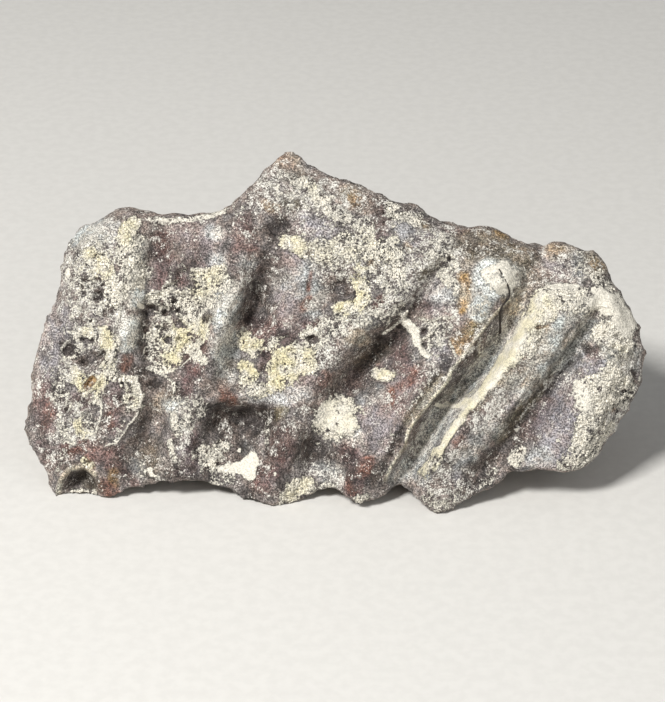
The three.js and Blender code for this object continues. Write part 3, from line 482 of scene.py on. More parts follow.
OCHRE = [
    # left of E
    [1.0, 0.42, (-24.9, 13.1), (-24.2, 13.9)],
    # E to D
    [0.6, 0.4, (-25.0, 5.6), (-24.6, 5.2)],
    [0.7, 0.5, (-22.4, 4.4), (-22.2, 3.4)],
    # D to C
    [0.45, 0.7, (1.2, 32.2), (1.9, 31.8)],
    [0.5, 0.5, (-6.8, 31.4), (-6.0, 31.0)],
    [0.5, 0.5, (8.4, 29.6), (9.0, 29.2)],
    [0.4, 0.35, (7.1, 27.2), (7.5, 26.9)],
    [0.6, 0.35, (3.5, 25.5), (3.7, 25.1)],
    [0.9, 0.75, (1.9, 18.3), (2.7, 17.8)],
    [0.4, 0.4, (-5.8, 10.2), (-5.5, 10.8)],
    # C to B
    [0.8, 0.35, (16.2, 28.6), (17.2, 28.1)],
    [1.0, 0.6, (12.8, 24.0), (12.8, 22.4), (12.7, 21.0)],
    [0.75, 0.7, (13.6, 19.2), (12.8, 18.1), (12.2, 17.2)],
    # B to A
    [0.35, 0.5, (21.8, 27.1), (22.4, 27.0)],
    [0.4, 0.8, (17.2, 21.6), (17.8, 20.8)],
    # right of A
    [0.5, 0.6, (25.8, 25.6), (26.4, 24.9)],
    [0.6, 0.6, (20.2, 19.3), (20.0, 18.9)],
    [0.6, 0.6, (28.6, 14.8), (29.0, 16.2)],
    [0.3, 1.1, (20.2, 16.8), (18.2, 15.2), (16.6, 13.8)],
    [0.4, 0.7, (20.0, 14.0), (19.0, 13.6)],
    [0.5, 0.5, (27.8, 11.4), (27.2, 10.8)],
]

# Blue-grey bloom on smooth bone, partly painted sheen: a bluish-white highlight on smooth places
BLUE_GREY_AND_SHEEN = [
    # left of E
    [0.8, 0.6, (-22.0, 29.4), (-23.0, 28.8)],
    [0.7, 1.4, (-25.6, 28.4), (-23.6, 28.6)],
    # E to D
    [0.7, 0.7, (-12.4, 28.6), (-12.0, 28.4)],
    [0.6, 0.8, (-12.0, 25.8), (-11.6, 25.6)],
    [0.6, 0.9, (-8.6, 25.8), (-8.8, 25.4)],
    [0.9, 0.75, (-19.8, 22.6), (-20.1, 21.6)],
    [0.9, 1.0, (-11.0, 22.0), (-11.4, 20.6)],
    [0.9, 0.7, (-20.8, 18.8), (-21.0, 17.4)],
    [0.6, 1.1, (-11.0, 19.0), (-11.2, 16.4)],
    [0.6, 0.8, (-16.8, 11.4), (-16.0, 10.2)],
    [0.3, 0.8, (-17.2, 5.6), (-17.4, 4.4)],
    [0.5, 0.8, (-20.2, 5.2), (-19.2, 4.6)],
    # D to C
    [0.3, 1.2, (7.0, 29.0), (6.6, 28.2)],
    [0.7, 0.8, (-2.8, 25.0), (-3.0, 23.6)],
    [0.6, 1.1, (-5.6, 23.8), (-3.4, 23.2)],
    [0.7, 0.7, (-1.8, 23.0), (-1.4, 22.2)],
    [0.7, 0.8, (-2.4, 21.0), (-2.2, 20.6)],
    [0.4, 0.7, (-8.6, 6.8), (-9.2, 6.9)],
    # C to B
    [0.8, 0.6, (13.8, 23.6), (13.6, 21.6), (13.8, 20.4)],
    [0.3, 0.9, (9.8, 14.8), (8.6, 15.8)],
    [0.5, 1.0, (3.0, 12.2), (4.2, 12.6)],
    [0.4, 0.9, (-1.4, 4.8), (0.0, 3.8)],
    # B to A
    [0.45, 0.9, (16.8, 18.2), (15.2, 16.2), (13.6, 14.0)],
    [0.5, 1.0, (14.6, 14.4), (13.0, 12.6)],
    [0.6, 0.9, (9.2, 8.2), (9.0, 6.6)],
    [0.5, 0.9, (7.4, 4.8), (8.6, 4.4)],
    # right of A
    [0.9, 0.6, (22.4, 19.6), (21.8, 18.6), (21.6, 17.2)],
    [0.5, 0.8, (21.6, 16.4), (20.8, 15.4)],
]

# Olive tone and painted shade: olive-dark colour on slopes turned from the lamp, in the trough beside
# the edge of ridge B and in the shadow under the broken edge of ridge C
OLIVE_AND_SHADE = [
    [0.55, 0.6, (24.6, 19.2), (23.2, 16.8), (21.4, 14.2), (19.6, 12.0)],
    [0.7, 0.7, (19.6, 12.0), (17.8, 10.0), (16.4, 8.0)],
    [0.6, 0.6, (14.6, 19.9), (13.6, 18.6)],
    [0.5, 0.4, (10.4, 14.2), (9.0, 12.6), (7.6, 10.8), (6.9, 9.8)],
    [0.5, 0.8, (-25.4, 4.0), (-24.4, 3.2)],
    [0.4, 1.0, (4.6, 17.0), (3.0, 15.6)],
    [0.5, 0.8, (-4.6, 31.6), (-4.0, 31.0)],
    [0.5, 0.6, (8.4, 24.2), (9.6, 25.0)],
    [0.5, 0.7, (20.2, 19.3), (20.0, 18.9)],
    [0.5, 0.9, (28.0, 16.6), (26.8, 16.8)],
    [0.5, 0.5, (-12.6, 20.0), (-13.2, 19.6)],
    [0.4, 1.0, (-19.0, 6.4), (-18.4, 5.4)],
    [0.4, 1.5, (13.6, 27.4), (16.0, 26.8), (18.6, 25.6)],
    [0.7, 0.6, (-6.0, 10.2), (-5.4, 10.8)],
]

# Painted shade: dark colour laid in grooves, pits, under edges and on slopes turned from the lamp
PAINTED_SHADE = [
    # left of E
    [0.6, 0.7, (-24.4, 22.8), (-23.6, 22.4)],
    [0.7, 0.5, (-26.0, 16.4), (-27.4, 17.0)],
    [0.6, 0.6, (-25.2, 15.6), (-24.2, 15.8), (-23.2, 16.4)],
    [0.5, 0.7, (-28.0, 14.0), (-27.8, 12.2)],
    [0.6, 0.3, (-27.4, 4.6), (-26.2, 5.2), (-25.4, 5.2)],
    [0.8, 0.7, (-26.9, 3.0), (-26.2, 4.0), (-25.2, 4.2), (-24.6, 3.4)],
    # E to D
    [0.5, 1.0, (-17.8, 28.0), (-17.4, 26.6)],
    [0.35, 1.2, (-18.6, 27.8), (-15.6, 27.2), (-13.6, 25.8)],
    [0.45, 1.3, (-16.4, 26.6), (-15.0, 25.6)],
    [0.8, 0.6, (-19.4, 20.8), (-18.4, 21.2)],
    [0.8, 0.7, (-17.4, 20.7), (-16.0, 21.2)],
    [0.7, 0.45, (-19.2, 19.8), (-19.4, 18.4)],
    [0.7, 0.6, (-19.2, 17.2), (-18.9, 15.4)],
    [0.8, 0.8, (-19.9, 14.6), (-18.4, 14.0)],
    [0.7, 0.8, (-19.2, 13.8), (-17.8, 13.2)],
    [0.5, 0.8, (-16.8, 12.8), (-15.6, 12.4)],
    [0.4, 1.2, (-20.2, 9.6), (-20.0, 7.2)],
    [0.45, 1.2, (-18.6, 7.0), (-18.2, 5.0)],
    [0.5, 1.0, (-21.0, 5.6), (-18.6, 5.6)],
    [0.4, 0.9, (-16.0, 5.8), (-15.6, 4.8)],
    [0.45, 1.1, (-22.0, 4.4), (-19.6, 5.0)],
    [0.75, 0.9, (-16.4, 4.5), (-13.6, 4.2)],
    # D to C
    [0.9, 1.0, (-6.3, 28.7), (-5.2, 29.2)],
    [0.8, 0.9, (-6.2, 26.6), (-6.0, 25.4)],
    [0.7, 0.5, (-7.0, 26.6), (-7.4, 24.8)],
    [0.6, 0.7, (-6.5, 27.2), (-5.9, 25.6), (-6.1, 24.2)],
    [0.45, 0.9, (-6.2, 26.4), (-5.2, 24.2)],
    [0.3, 0.7, (8.6, 24.2), (10.4, 25.2)],
    [0.8, 0.8, (0.2, 22.8), (0.9, 23.4), (1.3, 22.6)],
    [0.6, 0.5, (0.0, 22.0), (1.6, 21.8)],
    [0.75, 1.1, (-7.6, 23.0), (-8.5, 21.2), (-9.2, 20.2)],
    [0.6, 0.9, (-8.6, 19.6), (-6.6, 20.6)],
    [0.6, 0.6, (-5.4, 18.3), (-4.4, 17.9)],
    [0.5, 0.6, (-2.6, 18.0), (-1.6, 17.6)],
    [0.6, 0.6, (-10.2, 17.6), (-10.2, 15.0)],
    [0.45, 0.8, (-2.0, 16.4), (-0.4, 15.6)],
    [0.45, 0.8, (-10.2, 16.8), (-10.0, 15.2)],
    [0.6, 0.6, (-2.0, 12.4), (-1.0, 12.9)],
    [1.0, 1.5, (-12.0, 10.2), (-9.8, 9.8), (-7.4, 10.0)],
    [0.8, 0.8, (-10.4, 8.8), (-8.0, 8.8)],
    [0.8, 0.5, (-12.8, 9.8), (-13.2, 8.2), (-14.0, 7.0)],
    [0.8, 0.9, (-10.8, 8.2), (-9.8, 7.0)],
    [0.45, 0.8, (-6.0, 8.0), (-6.4, 5.6)],
    [0.75, 0.8, (-9.9, 6.2), (-8.4, 6.8)],
    # C to B
    [0.3, 1.2, (17.6, 27.2), (14.4, 27.8)],
    [0.6, 0.6, (8.4, 21.8), (9.0, 21.4)],
    [0.6, 0.3, (7.2, 20.8), (6.2, 19.8), (5.0, 18.8)],
    [0.9, 0.35, (4.4, 17.9), (5.6, 18.4), (6.6, 19.3)],
    [0.8, 1.0, (6.4, 18.4), (4.8, 17.4), (3.6, 16.6)],
    [0.7, 0.7, (9.6, 13.8), (11.0, 15.2)],
    [0.35, 1.2, (3.2, 16.2), (1.8, 14.0), (0.4, 12.8)],
    [0.65, 1.0, (2.2, 12.4), (4.0, 14.0)],
    [0.4, 0.3, (9.6, 14.4), (8.2, 12.4), (7.2, 10.8), (6.5, 9.6)],
    [0.45, 0.6, (9.6, 12.6), (7.8, 10.4)],
    [0.6, 0.5, (-2.0, 11.0), (-1.9, 9.0)],
    [0.8, 0.5, (6.6, 8.9), (6.2, 7.6), (5.4, 6.4)],
    [0.75, 1.2, (-2.8, 7.2), (-1.2, 6.4)],
    [0.5, 1.1, (-0.6, 6.5), (0.6, 5.9)],
    [0.7, 0.4, (-3.2, 8.6), (-4.2, 7.0), (-4.6, 5.4), (-5.4, 3.4)],
    [0.5, 1.1, (0.8, 6.0), (1.8, 4.2)],
    [0.7, 0.8, (4.8, 5.4), (4.0, 3.8)],
    [0.8, 0.7, (-9.2, 2.6), (-8.2, 2.2)],
    # B to A
    [0.4, 0.5, (20.2, 26.4), (19.4, 25.0), (18.8, 23.8)],
    [0.35, 0.6, (18.6, 23.6), (18.4, 22.2)],
    [0.5, 0.25, (17.5, 21.7), (16.6, 20.7), (15.6, 19.5)],
    [0.7, 0.5, (15.9, 18.8), (15.1, 17.6)],
    [0.6, 0.22, (15.9, 20.1), (14.6, 18.4), (12.9, 16.1), (11.9, 14.7), (11.4, 13.2)],
    [0.75, 0.7, (14.6, 17.4), (12.2, 14.2), (10.2, 11.6)],
    [0.8, 0.35, (13.0, 13.9), (12.8, 13.3)],
    [0.5, 0.3, (10.8, 10.6), (10.4, 10.0)],
    [0.35, 0.35, (10.2, 12.1), (9.0, 10.5), (8.0, 9.2), (7.6, 7.6)],
    # right of A
    [0.5, 0.5, (27.4, 24.0), (26.2, 23.8)],
    [0.35, 0.35, (26.4, 20.8), (25.2, 19.8), (24.6, 18.4)],
    [0.7, 0.45, (25.0, 17.3), (25.2, 16.7)],
    [0.55, 0.18, (24.4, 18.8), (23.9, 18.0), (22.0, 15.2), (20.0, 12.4), (18.0, 10.0)],
    [0.8, 0.4, (24.2, 16.0), (22.6, 14.0), (21.4, 12.6)],
    [0.5, 0.6, (28.9, 12.8), (29.6, 12.0)],
    [0.35, 1.2, (22.4, 12.6), (20.4, 9.4), (18.6, 7.2)],
    [0.7, 0.7, (19.8, 10.2), (18.4, 8.4), (16.9, 7.0)],
    [0.75, 1.1, (18.2, 8.4), (17.2, 6.6)],
    [0.7, 0.7, (16.4, 7.0), (15.2, 5.6)],
    [0.4, 0.8, (10.6, 5.0), (11.4, 3.8)],
    [0.5, 1.0, (13.2, 4.6), (14.8, 4.0)],
    [0.7, 1.0, (13.2, 4.6), (13.8, 3.6)],
]

# Granular crust: the strength is how much of the surface it covers
CRUST = [
    # left of E
    [0.8, 0.95, (-20.2, 29.6), (-20.8, 28.6), (-21.2, 27.9)],
    [0.72, 1.1, (-24.4, 26.2), (-23.4, 25.4)],
    [0.7, 0.6, (-21.6, 27.2), (-20.8, 24.8), (-21.3, 22.0)],
    [0.75, 0.9, (-22.6, 24.6), (-22.2, 21.6)],
    [0.5, 2.6, (-24.6, 26.6), (-25.2, 21.0), (-26.0, 16.0), (-26.6, 12.4)],
    [0.85, 0.45, (-26.2, 18.2), (-25.4, 18.7), (-24.6, 18.5)],
    [0.95, 0.75, (-23.2, 18.4), (-22.9, 17.3)],
    [0.85, 0.45, (-22.6, 16.6), (-22.8, 15.8), (-23.2, 15.2)],
    [0.85, 0.6, (-26.2, 14.8), (-25.9, 13.6), (-25.3, 12.6)],
    [0.9, 0.22, (-25.5, 12.9), (-25.0, 13.8), (-24.2, 14.4), (-23.7, 14.1), (-23.9, 13.2),
     (-24.8, 12.5)],
    [0.8, 0.5, (-23.2, 14.2), (-23.6, 12.6), (-23.9, 11.6)],
    [0.6, 0.9, (-25.0, 9.8), (-24.4, 9.0)],
    [0.8, 0.6, (-25.9, 9.4), (-25.6, 8.4)],
    [0.6, 0.6, (-27.6, 9.4), (-27.2, 8.0)],
    [0.5, 0.3, (-26.2, 7.6), (-27.4, 6.4), (-27.9, 4.8)],
    [0.7, 0.4, (-25.2, 5.6), (-24.6, 5.2)],
    # E to D
    [0.6, 0.6, (-9.6, 30.8), (-9.2, 30.4)],
    [0.85, 0.24, (-18.7, 30.1), (-16.5, 29.95), (-14.0, 30.1), (-12.5, 30.35), (-11.0, 30.8)],
    [0.6, 0.4, (-18.2, 29.9), (-15.0, 29.9)],
    [0.7, 0.7, (-19.8, 28.0), (-20.2, 25.6), (-20.6, 23.4)],
    [0.75, 0.55, (-20.2, 24.9), (-18.4, 24.9)],
    [0.85, 0.4, (-14.4, 24.6), (-12.6, 24.8), (-11.0, 25.0)],
    [0.8, 0.8, (-19.7, 25.2), (-19.6, 23.8)],
    [0.78, 0.55, (-17.2, 22.6), (-16.2, 23.4), (-16.2, 24.6), (-15.4, 24.9)],
    [0.6, 0.4, (-10.9, 25.0), (-10.2, 23.4), (-11.4, 22.4)],
    [0.68, 1.5, (-13.4, 23.6), (-12.0, 23.8), (-12.8, 22.0)],
    [0.75, 0.6, (-18.6, 22.2), (-17.2, 22.5)],
    [0.65, 1.4, (-15.4, 21.8), (-14.6, 20.2)],
    [0.6, 1.2, (-18.0, 21.6), (-17.0, 19.6), (-18.2, 17.8)],
    [0.9, 0.7, (-13.8, 19.2), (-13.2, 18.4)],
    [0.75, 0.45, (-12.8, 19.6), (-13.4, 17.8), (-14.4, 16.5)],
    [0.85, 1.2, (-16.8, 17.8), (-15.4, 18.2), (-16.4, 16.4)],
    [0.85, 0.75, (-14.5, 16.9), (-13.5, 16.1)],
    [0.7, 0.55, (-22.0, 18.0), (-22.3, 14.0)],
    [0.62, 0.9, (-18.4, 16.2), (-17.4, 15.2)],
    [0.8, 0.25, (-18.8, 15.0), (-17.4, 14.4), (-16.4, 14.8)],
    [0.75, 0.2, (-16.9, 14.1), (-16.2, 13.5), (-16.2, 12.6)],
    [0.4, 0.8, (-15.2, 13.2), (-14.6, 12.0)],
    [0.72, 0.8, (-21.0, 13.6), (-20.4, 12.6), (-20.4, 11.4)],
    [0.85, 0.45, (-20.2, 13.8), (-19.7, 12.4), (-19.6, 11.0)],
    [0.6, 0.8, (-16.4, 11.4), (-15.4, 11.4)],
    [0.6, 0.9, (-14.2, 11.2), (-13.4, 11.6), (-14.6, 9.6)],
    [0.78, 0.5, (-16.3, 10.4), (-15.9, 9.2), (-15.7, 8.4)],
    [0.45, 0.6, (-21.2, 9.8), (-22.6, 8.0)],
    [0.72, 0.35, (-16.6, 7.6), (-16.2, 6.2), (-15.8, 4.4)],
    [0.5, 0.8, (-19.2, 5.0), (-18.4, 4.6)],
    [0.7, 0.4, (-26.6, 2.6), (-25.4, 2.6), (-24.4, 2.4)],
    # D to C
    [0.62, 1.3, (-4.0, 33.8), (-2.6, 33.2)],
    [0.65, 1.0, (-2.0, 32.4), (-1.0, 31.4)],
    [0.7, 1.0, (-0.6, 30.4), (0.8, 29.8)],
    [0.7, 1.2, (5.8, 30.4), (7.4, 29.6)],
    [0.65, 0.8, (7.0, 30.2), (8.4, 29.8)],
    [0.42, 3.0, (-4.6, 32.8), (-2.4, 30.2), (1.0, 29.8), (4.6, 27.8), (9.4, 26.6)],
    [0.55, 1.4, (2.0, 29.4), (3.0, 28.8)],
    [0.9, 0.75, (-5.0, 27.9), (-4.0, 27.4), (-3.2, 26.6)],
    [0.62, 1.8, (-1.2, 26.8), (1.6, 27.0), (5.0, 27.4)],
    [0.6, 1.2, (9.6, 26.6), (11.4, 27.4)],
    [0.55, 1.8, (0.8, 25.4), (3.6, 25.6), (6.0, 26.0)],
    [0.75, 0.9, (4.0, 26.4), (6.2, 26.1), (6.0, 24.4)],
    [0.55, 1.2, (4.8, 23.8), (6.4, 23.0)],
    [0.82, 0.85, (2.3, 24.3), (2.7, 23.2), (2.8, 22.0)],
    [0.8, 0.75, (2.2, 21.2), (1.0, 20.8), (0.4, 21.0)],
    [0.55, 0.8, (4.4, 22.4), (4.0, 19.6)],
    [0.6, 0.9, (6.2, 20.9), (5.0, 19.8)],
    [0.6, 1.6, (3.6, 20.4), (1.2, 19.6), (-0.8, 18.8)],
    [0.8, 0.5, (-3.4, 18.2), (-2.8, 18.8), (-2.0, 18.4)],
    [0.6, 0.9, (-5.2, 18.4), (-6.4, 17.4)],
    [0.8, 1.0, (-9.0, 17.8), (-8.0, 17.2)],
    [0.6, 0.6, (-3.2, 17.2), (-1.6, 17.4)],
    [0.8, 1.0, (-4.4, 16.4), (-2.8, 16.2), (-2.6, 15.2)],
    [0.82, 0.9, (-9.2, 15.0), (-8.6, 14.6)],
    [0.84, 1.7, (-5.2, 15.4), (-4.8, 14.6), (-5.4, 13.6)],
    [0.7, 1.0, (-9.0, 13.6), (-7.6, 12.8)],
    [0.7, 0.3, (-6.9, 9.4), (-6.9, 7.6)],
    [0.72, 1.2, (-13.0, 6.0), (-11.8, 6.8)],
    [0.8, 0.7, (-13.4, 4.6), (-12.2, 5.2)],
    [0.6, 0.9, (-12.6, 3.8), (-11.0, 3.8)],
    # C to B
    [0.62, 0.7, (11.2, 25.9), (11.6, 25.2)],
    [0.75, 0.7, (11.0, 24.4), (11.4, 23.6)],
    [0.6, 0.9, (15.4, 24.4), (16.4, 23.0)],
    [0.7, 0.6, (12.2, 22.8), (11.8, 21.8)],
    [0.5, 0.6, (14.8, 21.6), (14.2, 20.6)],
    [0.8, 0.14, (8.4, 20.0), (9.4, 19.6), (10.4, 20.0), (11.8, 20.0)],
    [0.85, 0.16, (4.8, 18.4), (5.6, 18.9), (6.6, 19.8), (7.6, 21.2)],
    [0.6, 0.8, (11.0, 19.2), (9.6, 19.2)],
    [0.8, 0.16, (8.0, 18.5), (8.7, 17.9), (9.4, 18.2), (9.9, 18.9)],
    [0.55, 0.9, (9.6, 17.8), (11.0, 18.6)],
    [0.8, 0.16, (11.2, 18.0), (11.5, 17.2), (12.0, 16.2)],
    [0.7, 0.14, (8.7, 16.9), (9.2, 16.4), (10.3, 16.1)],
    [0.98, 0.7, (4.4, 14.3), (5.5, 14.1)],
    [0.4, 0.7, (9.2, 13.6), (7.8, 11.6)],
    [1.05, 1.9, (-0.3, 10.3), (0.8, 10.2), (0.6, 9.4)],
    [0.7, 0.2, (5.1, 8.8), (5.6, 9.0), (5.8, 8.5), (5.4, 8.4)],
    [0.6, 0.7, (-1.8, 3.0), (-0.6, 3.0)],
    [0.9, 0.9, (-4.8, 2.2), (-4.0, 3.0), (-2.8, 3.2)],
    [0.85, 0.65, (2.4, 1.9), (2.9, 2.1)],
    [0.7, 0.6, (-5.2, 1.4), (-3.8, 1.6)],
    # B to A
    [0.6, 0.8, (18.2, 24.8), (18.4, 23.6)],
    [0.6, 0.7, (17.9, 24.4), (18.0, 22.6)],
    [1.0, 1.0, (21.0, 22.6), (20.2, 21.0), (19.6, 19.6)],
    # right of A
    [0.5, 1.3, (25.0, 26.0), (25.2, 24.8)],
    [0.7, 0.9, (26.0, 24.2), (27.2, 22.8)],
    [0.85, 0.9, (22.2, 22.5), (24.4, 22.3)],
    [0.9, 0.9, (26.4, 22.4), (28.2, 21.4)],
    [0.66, 1.0, (22.6, 21.4), (25.0, 21.2)],
    [0.92, 1.2, (21.4, 21.6), (20.6, 20.2)],
    [1.0, 1.2, (27.4, 21.1), (28.5, 20.4), (29.3, 19.2)],
    [0.8, 1.3, (26.8, 18.6), (28.8, 18.0)],
    [0.8, 0.8, (20.0, 18.4), (19.2, 17.0)],
    [0.85, 0.75, (19.2, 18.6), (18.0, 16.8), (16.8, 15.2)],
    [0.6, 0.8, (27.6, 16.8), (29.4, 16.4)],
    [0.9, 0.22, (24.5, 16.1), (25.1, 15.5), (26.0, 15.8)],
    [0.35, 1.2, (19.2, 16.6), (17.2, 14.2)],
    [0.88, 0.9, (27.4, 15.2), (28.5, 13.8)],
    [0.8, 0.9, (26.2, 14.2), (27.6, 14.8)],
    [0.45, 0.6, (16.6, 14.8), (15.0, 12.6), (13.6, 11.0)],
    [0.65, 1.2, (28.4, 11.6), (29.2, 13.6)],
    [0.88, 1.1, (27.4, 13.6), (26.6, 11.4)],
    [0.92, 1.4, (25.2, 13.0), (25.4, 11.4)],
    [0.9, 0.55, (24.0, 12.2), (24.4, 9.6)],
    [0.85, 0.6, (24.6, 9.6), (24.4, 8.0), (23.6, 7.0)],
    [0.7, 0.6, (27.6, 9.2), (26.8, 8.0), (26.2, 6.8)],
    [0.72, 1.3, (26.0, 9.6), (25.4, 7.6), (24.6, 6.4)],
    [0.9, 0.6, (18.0, 5.7), (18.3, 6.8)],
    [0.65, 0.9, (23.0, 5.4), (24.4, 5.2)],
    [0.6, 0.3, (10.8, 6.4), (9.8, 5.0), (8.9, 4.2)],
    [0.6, 0.5, (15.2, 4.2), (15.8, 4.4)],
    [0.6, 0.5, (14.8, 3.2), (15.6, 3.6)],
    [0.5, 1.0, (9.4, 2.0), (10.8, 1.0), (12.4, 2.0)],
]

# Soft matte crust that covers the bone completely
SMOOTH_CRUST = [
    # crest of ridge A
    [0.75, 0.32, (24.0, 23.1), (22.8, 23.2), (21.6, 23.1)],
    [0.55, 0.8, (20.4, 22.4), (19.6, 20.8), (18.9, 19.2)],
    [0.8, 0.55, (19.0, 19.6), (18.2, 18.2)],
    [0.85, 0.62, (18.3, 18.2), (17.2, 16.4), (16.3, 15.1)],
    [0.95, 0.6, (16.3, 15.1), (15.4, 13.7), (14.5, 12.5), (13.3, 11.3)],
    [0.85, 0.4, (13.1, 11.2), (12.3, 9.8), (11.2, 8.2), (10.4, 6.8)],
    [0.6, 0.5, (10.2, 6.6), (9.4, 5.4), (8.8, 4.6)],
    [1.0, 0.26, (12.6, 11.2), (11.6, 11.2), (11.2, 11.5), (10.7, 11.1), (10.2, 11.4)],
    # plateau
    [0.85, 1.1, (26.4, 22.0), (28.0, 20.8), (29.2, 19.0)],
    [0.5, 0.5, (25.4, 22.0), (26.4, 21.8)],
    [0.7, 0.75, (24.3, 13.2), (24.6, 11.2)],
    # knob
    [0.85, 0.75, (16.6, 24.9), (17.3, 24.2), (17.2, 23.2), (16.6, 22.7)],
    [0.7, 0.85, (15.4, 24.4), (15.8, 23.4)],
    # ribbon across ridge C
    [0.85, 0.62, (7.1, 19.6), (7.8, 18.9)],
    [0.8, 0.36, (7.9, 18.7), (8.1, 17.8), (8.5, 17.0), (9.1, 16.2)],
    # plate on the lower margin
    [0.75, 0.5, (-11.4, 4.8), (-10.2, 4.7)],
    [1.0, 0.6, (-9.8, 4.8), (-8.8, 4.6), (-8.4, 4.2)],
    [1.0, 0.6, (-8.5, 4.4), (-8.3, 5.2), (-8.4, 6.0)],
    [0.9, 0.4, (-9.4, 5.2), (-8.8, 5.8)],
    # scattered dots
    [1.0, 0.2, (-9.7, 6.7), (-9.7, 6.6)],
    [1.0, 0.14, (-1.8, 7.3), (-1.7, 7.3)],
    [1.0, 0.14, (-6.0, 4.5), (-6.0, 4.4)],
    [0.9, 0.3, (-18.6, 4.8), (-18.4, 4.3)],
    [0.9, 0.14, (22.1, 7.9), (22.2, 7.8)],
    [0.8, 0.16, (18.0, 8.8), (18.2, 8.7)],
    [0.9, 0.28, (-27.0, 24.8), (-27.0, 24.4)],
    [0.9, 0.25, (-19.7, 21.4), (-19.5, 21.1)],
    [0.8, 0.18, (-27.9, 10.3), (-27.6, 10.1)],
    # matte patch on the saddle
    [0.7, 1.6, (-0.2, 10.3), (0.8, 9.8)],
    # rim of the notch in the upper margin
    [0.6, 0.26, (-18.6, 30.0), (-16.5, 29.8), (-14.0, 29.95), (-12.5, 30.2), (-11.0, 30.6)],
    # crest of ridge E, the leaf beside it and the rim of the wide pit
    [0.62, 0.12, (-19.3, 30.1), (-20.8, 26.3), (-21.4, 23.3), (-21.4, 20.8), (-22.1, 18.8),
     (-22.2, 16.6)],
    [0.75, 0.13, (-22.2, 16.6), (-23.0, 13.8), (-23.4, 11.8), (-23.5, 10.1), (-24.0, 8.6),
     (-25.3, 7.7)],
    [0.7, 0.13, (-19.8, 14.1), (-19.3, 11.8), (-19.8, 10.3), (-20.8, 9.1), (-21.8, 7.6),
     (-23.3, 7.1)],
    [0.62, 0.13, (-12.6, 19.8), (-13.1, 17.8), (-14.2, 16.3), (-15.4, 15.2)],
]

# Thin pale line on sharp edges: cream crust lines, and painted highlight along edges that catch the
# light
PALE_EDGE_AND_HIGHLIGHT = [
    [0.9, 0.13, (17.2, 21.7), (16.6, 21.2), (15.5, 20.0), (14.2, 18.3), (12.5, 16.0),
     (11.5, 14.8)],
    [1.0, 0.17, (11.5, 14.8), (11.1, 13.6), (9.8, 12.2), (8.6, 10.6), (7.8, 9.6), (7.2, 8.6)],
    [0.8, 0.13, (7.2, 8.6), (7.0, 7.2), (6.2, 6.2), (5.6, 5.2), (5.0, 3.8)],
    [0.3, 0.3, (10.6, 14.0), (9.2, 12.4), (8.0, 10.6), (7.2, 9.4)],
    [0.6, 0.12, (14.2, 17.6), (14.3, 16.9), (14.4, 16.3), (14.8, 16.2)],
    [0.6, 0.25, (-28.0, 2.4), (-27.6, 3.8), (-26.7, 4.8), (-25.4, 5.1), (-24.2, 4.3)],
    [0.7, 0.16, (7.8, 18.2), (8.6, 17.9), (9.2, 18.0), (9.6, 18.6)],
    [0.6, 0.14, (8.4, 20.0), (9.4, 19.6), (10.4, 20.0), (11.8, 20.0)],
]

# Where the crust is yellow rather than white
YELLOW = [
    # left of E
    [0.7, 1.0, (-20.4, 29.6), (-21.0, 28.2)],
    [0.6, 1.2, (-24.2, 25.8), (-23.2, 25.2)],
    [0.5, 0.6, (-25.8, 18.6), (-24.8, 18.6)],
    [0.8, 0.8, (-23.2, 18.4), (-22.9, 17.2), (-22.8, 15.8)],
    [0.8, 1.0, (-25.2, 14.4), (-25.2, 12.9), (-24.0, 13.4)],
    [0.6, 0.8, (-25.8, 9.2), (-25.4, 8.4)],
    [0.7, 0.6, (-25.2, 5.6), (-24.6, 5.2)],
    # E to D
    [0.5, 1.4, (-13.6, 23.4), (-12.4, 23.8)],
    [0.7, 0.8, (-13.8, 19.2), (-13.2, 18.4)],
    [0.9, 1.2, (-16.8, 17.6), (-15.4, 18.0), (-16.4, 16.4)],
    [0.5, 0.6, (-20.4, 12.6), (-20.2, 11.6)],
    # D to C
    [0.4, 1.0, (-1.8, 33.6), (-1.6, 33.2)],
    [0.6, 0.9, (-4.9, 27.9), (-3.2, 26.8)],
    [0.25, 1.6, (-0.8, 26.8), (4.8, 27.2)],
    [0.9, 0.8, (2.5, 24.4), (2.8, 23.0), (2.4, 21.4), (0.8, 20.8)],
    [0.8, 1.2, (-8.8, 17.8), (-8.0, 17.2)],
    [0.7, 1.0, (-4.2, 16.6), (-2.8, 16.2)],
    [0.9, 1.0, (-9.2, 15.2), (-8.6, 14.6)],
    [0.9, 1.6, (-5.4, 15.8), (-4.8, 14.4), (-5.4, 13.0)],
    # C to B
    [0.5, 0.8, (4.6, 14.2), (5.6, 14.2)],
    [0.3, 1.6, (0.0, 10.4), (1.4, 9.6)],
    [0.4, 1.0, (-4.6, 2.4), (-2.8, 3.2)],
    # B to A
    [0.6, 0.9, (20.4, 22.0), (18.6, 18.6), (16.4, 15.2), (13.2, 11.0), (9.0, 4.6)],
    # right of A
    [0.5, 1.0, (21.2, 21.2), (20.2, 19.6)],
    [0.4, 0.6, (28.6, 16.8), (28.8, 16.2)],
]

